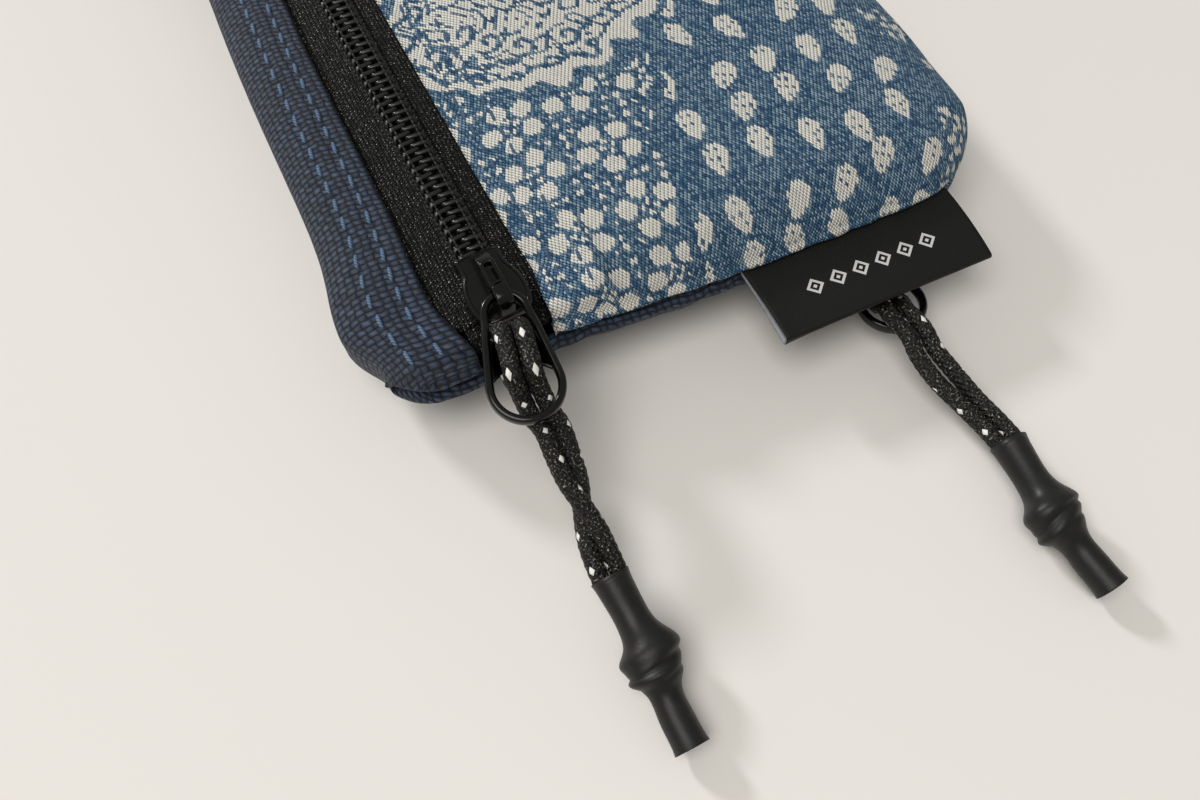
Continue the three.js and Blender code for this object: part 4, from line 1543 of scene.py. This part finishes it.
@dataclass
class Pull:
    """The cast pull with its two openings."""

    length: float = 16.0
    top_radius: float = 3.0
    end_radius: float = 4.5
    rim: float = 1.0
    thickness: float = 1.5
    loop_thickness: float = 1.0
    loop_length: float = 3.6
    web_thickness: float = 0.95
    web_start: float = 5.4
    web_end: float = 9.2

    def outline(self, inset: float, steps: int = 26) -> Array:
        """The outline round the loop's small circle and the end's large one, anticlockwise.

        Args:
            inset: How far inside the edge it runs.
            steps: How many points on each circle.

        Returns:
            The outline's points.
        """
        small, large = self.top_radius - inset, self.end_radius - inset
        small_at, large_at = self.top_radius - self.rim / 2, self.length - self.end_radius
        lean = math.asin((large - small) / (large_at - small_at))
        a = np.linspace(-lean, math.pi + lean, steps)
        b = np.linspace(math.pi + lean, 2 * math.pi - lean, steps)
        ends = [np.stack([large * np.cos(a), -(large_at + large * np.sin(a))], 1),
                np.stack([small * np.cos(b), -(small_at + small * np.sin(b))], 1)]
        return np.concatenate(ends)[::-1]

    def web_half(self, far: float) -> float:
        """Half the web's width at a distance from the pull's top."""
        return 2.75 + (far - 2.5) * 0.17

    def build(self, name: str, place: Place, body: str) -> bpy.types.Object:
        """Makes the pull: a rounded rim, a thinner loop and a web between the openings.

        Args:
            name: Its name, also its CAD node's.
            place: Turns its own points into the pouch's frame.
            body: The body it rides on.

        Returns:
            The pull.
        """
        skin = Skin()
        middle = curve(self.outline(self.rim / 2), 120, True)
        far = -middle[:, 1]
        share = smooth_share(self.loop_length - 1.2, self.loop_length + 1.6, far)
        height = self.loop_thickness + (self.thickness - self.loop_thickness) * share
        ring_sweep(skin, middle, self.rim * (0.92 + 0.08 * share), height, place, 2.7)
        span = np.linspace(-1, 1, 17)
        back = span[::-1]
        upper = np.stack([span * self.web_half(self.web_start),
                          -(self.web_start - 1.1 * np.abs(span) ** 2.2 + 0.9)], 1)
        lower = np.stack([back * self.web_half(self.web_end),
                          -(self.web_end - 1.9 * (1 - np.abs(back) ** 2.0) + 1.3)], 1)
        prism(skin, np.concatenate([lower, upper]), -self.web_thickness / 2, self.web_thickness / 2, 0.12, place, 2)
        return skin.piece(name, "black_metal", body, name)


# The crown's block and hook from the side, as Y and Z, and the recess in its top, as X and Y

CROWN_BLOCK = ((-1.6, 1.1), (1.2, 1.0), (4.5, 1.1), (4.62, 1.75), (3.6, 3.0), (2.2, 3.98), (1.55, 4.26), (1.1, 4.28),
               (0.75, 3.76), (-1.4, 3.72), (-1.66, 3.5), (-1.66, 2.5))
CROWN_HOOK = ((-2.4, 4.02), (-2.25, 4.35), (-2.4, 4.68), (-3.1, 4.69), (-4.1, 4.42), (-4.72, 3.6), (-4.86, 2.4),
              (-4.66, 1.3), (-4.1, 1.25), (-3.95, 2.2), (-3.93, 3.2), (-3.6, 3.84), (-2.7, 4.02))
CROWN_RECESS = ((0.66, -2.3), (0.66, 0.3), (0.62, 0.95), (0, 1.15), (-0.62, 0.95), (-0.66, 0.3), (-0.66, -2.3),
                (-0.62, -2.65), (0, -2.75), (0.62, -2.65))


@dataclass
class Slider:
    """The cast slider: two plates, a post and a hooked crown."""

    half: float = 4.9
    neck: float = 2.85
    wide: float = 3.65
    channel: float = 2.3
    side_points: int = 26
    crown_half: float = 0.95
    recess_height: float = 4.16
    eye_to: float = -1.6
    eye_lift: float = 0.22

    def outline(self, inset: float = 0.0) -> Array:
        """The plates' plan outline, anticlockwise, with a waist below the neck.

        Args:
            inset: How far inside the edge it runs.

        Returns:
            The outline's points.
        """
        h, n, w = self.half - inset, self.neck - inset, self.wide - inset
        right = [[0.6 * w, -h], [0.88 * w, -0.82 * h], [w, -0.45 * h], [w, -0.08 * h], [0.90 * w, 0.24 * h],
                 [n * 0.98, 0.52 * h], [n * 0.96, 0.75 * h], [n, h]]
        side = curve(right, self.side_points)
        return np.concatenate([side, side[::-1] * [-1, 1]])

    def flange(self, side: Side) -> Array:
        """The outline of one flange that turns down beside the coil, anticlockwise.

        Args:
            side: Its side of the slider.

        Returns:
            The outline's points.
        """
        plan = self.outline()
        half = plan[:self.side_points] if side is Side.RIGHT else plan[self.side_points:]
        keep = half[np.abs(half[:, 0]) > self.channel + 0.15]
        back = np.stack([np.full(len(keep), side.value * self.channel), keep[::-1, 1]], 1)
        return np.concatenate([keep, back])

    def in_eye(self, points: Array) -> Array:
        """Which points lie over the crown's eye, as a column."""
        return points[:, 1:2] < self.eye_to

    def build(self, name: str, place: Place, body: str) -> bpy.types.Object:
        """Makes the slider with its raised edge line, crown and recess.

        Args:
            name: Its name, also its CAD node's.
            place: Turns its own points into the pouch's frame.
            body: The body it rides on.

        Returns:
            The slider.
        """

        def on_plate(points: Array) -> Array:
            """Places the edge line on the top plate."""
            return place(points + [0, 0, 1.40])

        def upright(points: Array) -> Array:
            """Places a plate that stands along the slider."""
            return place(points[:, [2, 0, 1]])

        def on_crown(points: Array) -> Array:
            """Places the recess's rim on the crown, higher over its eye."""
            return place(points + [0, 0, self.recess_height] + self.in_eye(points) * np.array([0, 0, self.eye_lift]))

        skin = Skin()
        prism(skin, self.outline(), 0.3, 1.4, 0.28, place)
        prism(skin, self.outline(), -3.8, -2.7, 0.28, place)
        for side in Side:
            prism(skin, self.flange(side), -1.5, 0.7, 0.2, place, 2)
        line = curve(self.outline(0.40), 110, True)
        ring_sweep(skin, line, np.full(len(line), 0.24), np.full(len(line), 0.24), on_plate, 2.0)
        post = np.array([[-0.25, -4.4], [0.25, -4.4], [0.25, -2.4], [-0.25, -2.4]])
        prism(skin, post, -3.0, 0.5, 0.08, place, 1)
        prism(skin, curve(CROWN_BLOCK, 80, True), -self.crown_half, self.crown_half, 0.22, upright)
        prism(skin, curve(CROWN_HOOK, 70, True), -self.crown_half, self.crown_half, 0.24, upright)
        recess = curve(CROWN_RECESS, 64, True)
        heights = np.where(self.in_eye(recess)[:, 0], 0.62, 1.06)
        ring_sweep(skin, recess, np.full(len(recess), 0.56), heights, on_crown, 3.4)
        return skin.piece(name, "black_metal", body, name)


# The knot's lumps in a sleeve: share of its length, angle round it, width and height

KNOT_LUMPS = ((0.45, 3.3, 0.100, 1.30), (0.47, 0.3, 0.060, 1.20), (0.58, 0.0, 0.055, 1.15), (0.60, 4.2, 0.050, 0.50))


def lump(share: Array, turn: Array, at: float, towards: float, wide: float, high: float) -> Array:
    """The rise of one lump at a share of a sleeve's length and an angle round it."""
    return high * bell(share, at, wide) * np.exp(1.2 * (np.cos(turn - towards) - 1))


@dataclass
class Zip:
    """A coil zip with its slider, pull, cord and sleeve."""

    prefix: str
    zip_x: float
    coil_top: float
    turned: bool
    overhang: float
    drop: float
    twist: float
    strands: tuple[Course, Course]
    sleeve: Course
    tooth_pitch: float = 1.5
    wire: float = 0.35
    wire_steps: int = 18
    coil_middle: float = 0.76
    coil_reach: float = 1.05
    coil_lean: float = 0.28
    tape_rows: int = 150
    tape_inner: float = 0.35
    tape_thickness: float = 0.5
    tuck_half: float = 4.9
    cord_diameter: float = 2.2
    braid_lobes: int = 8
    braid_rise: float = 2.1
    sleeve_radius: float = 2.2
    sleeve_sides: int = 40
    sleeve_wall: float = 0.42
    lap: float = 0.75
    flat_to: float = 18.2
    flat_keep: float = 0.15

    @property
    def half(self) -> float:
        """Half the zip's length."""
        return float(half_length(abs(self.zip_x) + TAPE_REACH)) - abs(SHEAR) * TAPE_REACH - ZIP_END_INSET

    @property
    def slider_y(self) -> float:
        """The parked slider's place along the zip."""
        return SLIDER_LENGTH / 2 - self.overhang - self.half

    def place(self, points: Array) -> Array:
        """Points of the zip's own frame in the pouch's frame.

        Args:
            points: The points.

        Returns:
            The moved points.
        """
        points = np.asarray(points, float)
        sign = -1 if self.turned else 1
        return points * [sign, 1, sign] + [self.zip_x, SHEAR * self.zip_x, self.coil_top]

    def place_slider(self, points: Array) -> Array:
        """Points of the slider's own frame in the pouch's frame."""
        return self.place(np.asarray(points, float) + [0, self.slider_y, 0])

    def place_pull(self, points: Array) -> Array:
        """Points of the pull's own frame in the pouch's frame."""
        turn = Matrix.Rotation(math.radians(self.drop), 3, "X") @ Matrix.Rotation(math.radians(self.twist), 3, "Z")
        return self.place_slider(np.asarray(points, float) @ np.array(turn).T + [0, AXIS_Y, AXIS_Z])

    def free(self, points: Course) -> Array:
        """Points counted from the zip and the pouch's end, in the pouch's frame."""
        return np.asarray(points, float) + [self.zip_x, -LENGTH / 2, 0]

    def cord_line(self) -> Array:
        """The cord's middle line, from one mouth of the sleeve through the hitch and back.

        Returns:
            Its points.
        """
        halves = []
        for side, strand in zip((-1, 1), self.strands):
            hitch = [[side * x + lean, -along, out] for x, out, along, lean in HITCH]
            halves.append(np.concatenate([self.free(strand), self.place_pull(hitch)]))
        route = np.concatenate([halves[0], halves[1][:-1][::-1]])
        return curve(route, 620)

    def cord(self) -> None:
        line = self.cord_line()
        skin = Skin()

        def braid(run: Array, angle: Array) -> Array:
            """The braid's radius along the cord and round it.

            Args:
                run: Distances along.
                angle: Angles round it.

            Returns:
                The radius.
            """
            a = angle * self.braid_lobes / 2 + run * 2 * math.pi / self.braid_rise
            b = angle * self.braid_lobes / 2 - run * 2 * math.pi / self.braid_rise
            return self.cord_diameter / 2 * (0.965 + 0.035 * np.cos(a) * np.cos(b) * 1.5)

        tube(skin, line, braid, 24)
        body = f"{self.prefix}_pull"
        made = skin.piece(f"{self.prefix}_cord_braid", "cord_braid", body, f"{self.prefix}_cord")
        sleeve = self.knotted_sleeve()
        for soft in (made, sleeve):
            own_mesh(soft)

    def knotted_sleeve(self) -> bpy.types.Object:
        """Makes the shrink sleeve: an open tube, swollen by the knot inside it.

        Returns:
            The sleeve.
        """
        line = curve(self.free(self.sleeve), 110)
        mouth = line[0] - line[1]
        line = np.concatenate([[line[0] + mouth / np.linalg.norm(mouth) * self.lap], line])
        total = length_of(line)
        mirror = -1 if self.turned else 1

        def outer(run: Array, angle: Array) -> Array:
            """The sleeve's outer radius along it and round it.

            Args:
                run: Distances along.
                angle: Angles round it.

            Returns:
                The radius.
            """
            t = run / total
            turn = angle * mirror
            knot = sum(lump(t, turn, *shape) for shape in KNOT_LUMPS) + 0.35 * bell(t, 0.51, 0.13)
            slant = t - 0.525 - 0.040 * np.cos(turn + 0.6)
            crease = 0.34 * bell(slant, 0, 0.018) + 0.16 * bell(slant, 0.075, 0.016)
            pinch = -0.16 * bell(t, 0.72, 0.08) - 0.10 * bell(t, 0.22, 0.12)
            flare = 0.16 * np.exp(-t / 0.03) + 0.20 * np.exp(-(1 - t) / 0.04)
            return self.sleeve_radius * (1 - 0.13 * t) + knot - crease + pinch + flare

        def inner(run: Array, angle: Array) -> Array:
            """The sleeve's inner radius along it and round it."""
            return outer(run, angle) - self.sleeve_wall

        shell = Skin()
        sides = self.sleeve_sides
        tube(shell, line, outer, sides, False)
        tube(shell, line, inner, sides, False, True)
        points = np.concatenate(shell.points)
        points[:, 2] = np.maximum(points[:, 2], TABLE_CLEARANCE)
        count = len(line) * sides
        faces = list(shell.faces)
        for k in range(sides):
            n = (k + 1) % sides
            first, last = (k, n), ((len(line) - 1) * sides + k, (len(line) - 1) * sides + n)
            faces.append([first[1], first[0], first[0] + count, first[1] + count])
            faces.append([last[0], last[1], last[1] + count, last[0] + count])
        skin = Skin()
        skin.add(points, faces, np.concatenate(shell.flats))
        return skin.piece(f"{self.prefix}_sleeve", "sleeve_rubber", f"{self.prefix}_pull",
                          f"{self.prefix}_cord_sleeve")

    def tape(self, side: Side) -> None:
        """Makes one flat tape beside the coil.

        Args:
            side: Its side of the zip.
        """
        name = f"{self.prefix}_zip_tape_{side.name.lower()}"
        across = np.linspace(self.tape_inner, TAPE_REACH, 24)
        y = np.linspace(-self.half - 0.1, self.half + 0.1, self.tape_rows)
        grid_y, grid_x = np.meshgrid(y, across, indexing="ij")
        top = -COIL_HEIGHT - 0.3
        ripple = 0.06 * np.sin(grid_y * 1.1) * smooth_share(3.5, 7.0, grid_x)
        z = top + ripple - 0.02 + 0.22 * bell(grid_x, 2.0, 0.7)
        outer = np.stack([side.value * grid_x, grid_y, z], -1)
        inner = outer - [0, 0, self.tape_thickness]
        skin = Skin()
        skin.add_shell(self.place(outer), self.place(inner), outer[..., :2], side is Side.RIGHT)
        skin.piece(f"{name}_cloth", "zip_tape", "pouch", name)

    def end_tuck(self) -> None:
        """Makes the tape's two short ends, turned into the pouch's end seams."""
        skin = Skin()
        down = SEAM - self.coil_top
        down = -down if self.turned else down
        for end in (-1, 1):
            edge = float(half_length(np.array(self.zip_x))) - self.half - 0.5
            path = curve([[0.0, -2.15], [edge * 0.45, -2.3], [edge * 0.85, -3.0], [edge * 0.98, down * 0.6 - 1.0],
                          [edge * 0.80, down + 0.25]], 16)
            across = np.linspace(-self.tuck_half, self.tuck_half, 30)
            grid = np.zeros((len(path), len(across), 3))
            grid[..., 0] = across[None]
            grid[..., 1] = end * (self.half + path[:, :1])
            grid[..., 2] = path[:, 1:]
            inner = grid - [0, 0, 0.35] - np.array([0, end * 0.35, 0])
            skin.add_shell(self.place(grid), self.place(inner), grid[..., :2], end < 0)
        skin.piece(f"{self.prefix}_tape_ends", "zip_tape", "pouch")

    def coil(self, side: Side) -> None:
        """Makes one row of the coil, a flattened spiral of nylon wire.

        Args:
            side: Its side of the zip.
        """
        name = f"{self.prefix}_zip_coil_{side.name.lower()}"
        half = self.half - 0.8
        turns = int(2 * half / self.tooth_pitch)
        t = np.arange(turns * self.wire_steps + 1) / self.wire_steps
        angle = t * 2 * math.pi
        cos, sin = np.cos(angle), np.sin(angle)
        tall = COIL_HEIGHT / 2 - self.wire
        x = self.coil_middle + np.sign(cos) * np.abs(cos) ** 0.55 * self.coil_reach
        z = -COIL_HEIGHT / 2 + np.sign(sin) * np.abs(sin) ** 0.6 * tall
        lean = self.coil_lean * np.where(sin > 0, 1, -1) * (x - self.coil_middle) / self.coil_reach
        offset = 0.0 if side is Side.RIGHT else self.tooth_pitch / 2
        y = -half + 0.3 + offset + t * self.tooth_pitch * 0.985 + lean * self.tooth_pitch * 0.18
        line = self.place(np.stack([side.value * x, y, z], 1))
        skin = Skin()
        tube(skin, line, self.wire, 7)
        skin.piece(f"{name}_wire", "zip_coil", "pouch", name)

    def coil_sewing(self) -> None:
        """Adds the two rows of sewing that hold the coil on its tapes."""
        skin = Skin()
        sign = -1 if self.turned else 1
        for side in Side:
            y = np.arange(-self.half + 1.2, self.half - 2.4, self.tooth_pitch / 2)
            for shift, lean in ((1.32, 0.0), (1.98, 0.16)):
                starts = np.stack([np.full(len(y), side.value * shift), y, np.full(len(y), -0.02 - 0.1 * lean)], 1)
                ends = starts + [side.value * lean, self.tooth_pitch / 2 - 0.08, 0]
                if lean:
                    starts[:, 2] = ends[:, 2] = -0.72
                lifts = np.tile([0.0, 0.0, float(sign)], (len(y), 1))
                stitches(skin, self.place(starts), self.place(ends), lifts, 0.16)
        skin.piece(f"{self.prefix}_coil_sewing", "black_thread", "pouch")

    def build(self) -> None:
        """Makes the zip's tapes, coils, slider and pull."""
        for side in Side:
            self.tape(side)
            self.coil(side)
        self.end_tuck()
        self.coil_sewing()
        Slider().build(f"{self.prefix}_slider", self.place_slider, f"{self.prefix}_slider")
        Pull().build(f"{self.prefix}_pull", self.place_pull, f"{self.prefix}_pull")


FRONT_ZIP = Zip(
    "front", FRONT_ZIP_X, FRONT_COIL_TOP, False, 2.8, 7.7, -11.0,
    (
        ((-1.2, -26.8, 5.9), (-1.2, -24.3, 7.1), (-1.35, -21.6, 8.7), (-1.9, -18.7, 10.1), (-2.4, -16.0, 11.0),
         (-2.38, -13.0, 11.7), (-2.27, -10.0, 12.7)),
        ((-3.4, -26.8, 5.9), (-3.3, -24.3, 6.6), (-2.85, -21.6, 7.2), (-1.85, -18.7, 7.75), (-0.82, -16.0, 9.45),
         (-0.36, -13.0, 10.9), (-0.1, -10.0, 12.4)),
    ),
    ((-2.3, -27.1, 5.8), (-2.1, -31.9, 4.7), (-2.2, -36.8, 3.9), (-2.6, -41.7, 2.9), (-2.6, -46.3, 2.4)),
)
BACK_ZIP = Zip(
    "back", BACK_ZIP_X, BACK_COIL_TOP, True, 2.8, 6.0, 8.0,
    (
        ((1.1, -33.1, 3.7), (0.75, -30.0, 3.7), (0.05, -26.4, 3.9), (-0.6, -22.3, 4.5), (-1.3, -18.6, 5.4),
         (-1.35, -15.9, 6.3)),
        ((-1.1, -33.1, 3.7), (-1.45, -30.0, 3.7), (-2.2, -26.4, 3.9), (-3.3, -22.3, 4.5), (-3.8, -18.6, 5.4),
         (-3.7, -15.9, 6.3)),
    ),
    ((0, -33.6, 3.6), (-0.5, -38.4, 3.7), (-0.9, -43.2, 3.75), (-0.4, -48.1, 2.9), (0.2, -52.8, 2.4)),
    flat_to=0.1, flat_keep=0.6,
)


@dataclass
class EndLabel:
    """The folded label in the end seam."""

    left: float = 3.5
    width: float = 30.0
    length: float = 9.2
    in_seam: float = 1.9
    ply: float = 0.28
    space: float = 0.34
    droop: float = 1.0
    end_gap: float = 0.9
    columns: int = 61
    outer_flat_to: float = 10.3
    inner_flat: float = 20.0

    def build(self) -> bpy.types.Object:
        """Makes the label as one strip folded at its free edge.

        Returns:
            The label.
        """
        middle = self.left + self.width / 2
        root = SHEAR * middle - float(half_length(np.array(middle))) - self.end_gap + self.in_seam
        flat_run = self.length + self.in_seam
        gap = self.space / 2 + self.ply / 2
        out = np.linspace(0, 1, 26) ** 0.9
        bend = np.linspace(0, math.pi, 9)[1:-1]
        path = [(s * flat_run, gap) for s in out]
        path += [(flat_run + math.sin(a) * gap, math.cos(a) * gap) for a in bend]
        path += [(s * flat_run, -gap) for s in out[::-1]]
        path = np.array(path)
        u = np.linspace(0, self.width, self.columns)
        grid_s, grid_u = np.meshgrid(path[:, 0], u, indexing="ij")
        offset = np.broadcast_to(path[:, 1:], grid_s.shape)
        share = np.clip((grid_s - self.in_seam) / self.length, 0, 1)
        droop = self.droop * share ** 2
        curl = 0.32 * share ** 2 * np.cos(grid_u / self.width * 2.4 - 0.4)
        left_lift = 0.30 * share * np.exp(-grid_u / 2.0) * np.sign(-offset)
        x = self.left + grid_u + 0.25 * share * np.sin(grid_u * 0.2)
        y = root - grid_s + SHEAR * (x - middle) * 0.4
        centre = SEAM - droop + curl
        out_points = np.stack([x, y, centre + offset * (1 + 0.25 * share) - left_lift], -1)
        ahead, side = np.gradient(out_points, axis=0), np.gradient(out_points, axis=1)
        normal = np.cross(side, ahead)
        normal /= np.linalg.norm(normal, axis=-1, keepdims=True)
        if normal[3, self.columns // 2, 2] < 0:
            normal = -normal
        half = self.ply / 2
        outer, inner = out_points + normal * half, out_points - normal * half
        run = run_of(path)
        # The satin's reverse shows from 10.35 on, so the outer side stops short of it and the inner lies past it.
        flats = np.stack([grid_u, np.broadcast_to((run - self.in_seam)[:, None], grid_u.shape)], -1)
        under = flats.copy()
        under[..., 1] = self.inner_flat
        flats[..., 1] = np.minimum(flats[..., 1], self.outer_flat_to)
        skin = Skin()
        skin.add_shell(outer, inner, flats, inner_flats=under)
        made = skin.piece("end_label_strip", "label_satin", "pouch", "end_label")
        return made


@dataclass
class Studio:
    """The table, the lights and the camera."""

    camera_at: tuple[float, float, float] = (-44.79, -115.99, 118.0)
    azimuth: float = 0.472
    elevation: float = 1.107
    lens: float = 31.11
    sun_azimuth: float = -68.0
    sun_elevation: float = 29.0
    sun_energy: float = 1.45
    soft_at: tuple[float, float, float] = (-0.36, -0.20, 0.90)
    soft_size: float = 0.72
    soft_energy: float = 5.6
    room_strength: float = 0.34
    sun_spread: float = 9.0
    sun_colour: tuple[float, float, float] = (0.97, 0.985, 1.0)
    soft_colour: tuple[float, float, float] = (1.0, 0.972, 0.925)
    room_colour: tuple[float, float, float, float] = (1.0, 0.985, 0.955, 1.0)
    table_half: float = 3.0

    def camera(self) -> None:
        """Sets the camera at the photograph's place and angle."""
        data = bpy.data.cameras.new("camera")
        data.lens = self.lens
        data.sensor_width = 36.0
        data.clip_start, data.clip_end = 0.005, 20.0
        made = put("camera", data)
        ahead = Vector((math.sin(self.azimuth) * math.cos(self.elevation),
                        math.cos(self.azimuth) * math.cos(self.elevation), -math.sin(self.elevation)))
        made.location = Vector(self.camera_at) * MM
        made.rotation_mode = "QUATERNION"
        right = Vector((math.cos(self.azimuth), -math.sin(self.azimuth), 0))
        up = right.cross(ahead)
        made.rotation_quaternion = Matrix((right, up, -ahead)).transposed().to_quaternion()
        bpy.context.scene.camera = made

    def table(self) -> None:
        """Adds the pale table top."""
        mesh = bpy.data.meshes.new("table")
        size = self.table_half
        mesh.from_pydata([(-size, -size, 0), (size, -size, 0), (size, size, 0), (-size, size, 0)], [], [(0, 1, 2, 3)])
        made = put("table", mesh)
        made.data.materials.append(finish_of("table"))
        made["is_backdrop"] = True

    def lights(self) -> None:
        """Adds the low window light from the upper left, a soft light above the left and the room's own light."""
        data = bpy.data.lights.new("window", "SUN")
        data.energy = self.sun_energy
        data.angle = math.radians(self.sun_spread)
        data.color = self.sun_colour
        made = put("window", data)
        a, e = math.radians(self.sun_azimuth), math.radians(self.sun_elevation)
        self.aim(made, Vector((math.cos(a) * math.cos(e), math.sin(a) * math.cos(e), -math.sin(e))))
        soft = bpy.data.lights.new("soft", "AREA")
        soft.shape = "DISK"
        soft.size = self.soft_size
        soft.energy = self.soft_energy
        soft.color = self.soft_colour
        above = put("soft", soft)
        above.location = self.soft_at
        self.aim(above, -Vector(self.soft_at))
        world = bpy.data.worlds.new("room")
        world.use_nodes = True
        sky = world.node_tree.nodes["Background"]
        sky.inputs["Color"].default_value = self.room_colour
        sky.inputs["Strength"].default_value = self.room_strength
        bpy.context.scene.world = world
        bpy.context.scene.view_settings.view_transform = "Standard"

    def aim(self, lamp: bpy.types.Object, way: Vector) -> None:
        """Turns a light so that it shines along a direction."""
        lamp.rotation_mode = "QUATERNION"
        lamp.rotation_quaternion = way.to_track_quat("-Z", "Y")


def main() -> None:
    """Builds the camera, the cords and then every other piece, and reports them."""
    logging.basicConfig(level=logging.INFO, format="%(name)s %(message)s")
    studio = Studio()
    studio.camera()
    for coiled in (FRONT_ZIP, BACK_ZIP):
        coiled.cord()
    navy = Panel("navy_panel", Side.LEFT, FRONT_ZIP_X - NARROW_GAP, BACK_ZIP_X - WIDE_GAP, "navy_cloth",
                 "navy_thread", narrowing=0.01, plump=2.0, corner=6.4, dip=3.2, waist=1.3)
    printed = Panel("print_panel", Side.RIGHT, FRONT_ZIP_X + WIDE_GAP, BACK_ZIP_X + NARROW_GAP, "print_cloth",
                    "print_thread", rumple=0.34, sunk=1.6, corner=9.0, narrowing=0.06)
    for panel in (navy, printed):
        panel.build()
    for coiled in (FRONT_ZIP, BACK_ZIP):
        coiled.build()
    EndLabel().build()
    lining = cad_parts["divider_lining"].data.materials
    lining.clear()
    lining.append(finish_of("lining"))
    studio.table()
    studio.lights()
    corners = [[list(corner) for corner in box] for box in (CAD_BOX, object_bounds())]


if __name__ == "__main__":
    main()
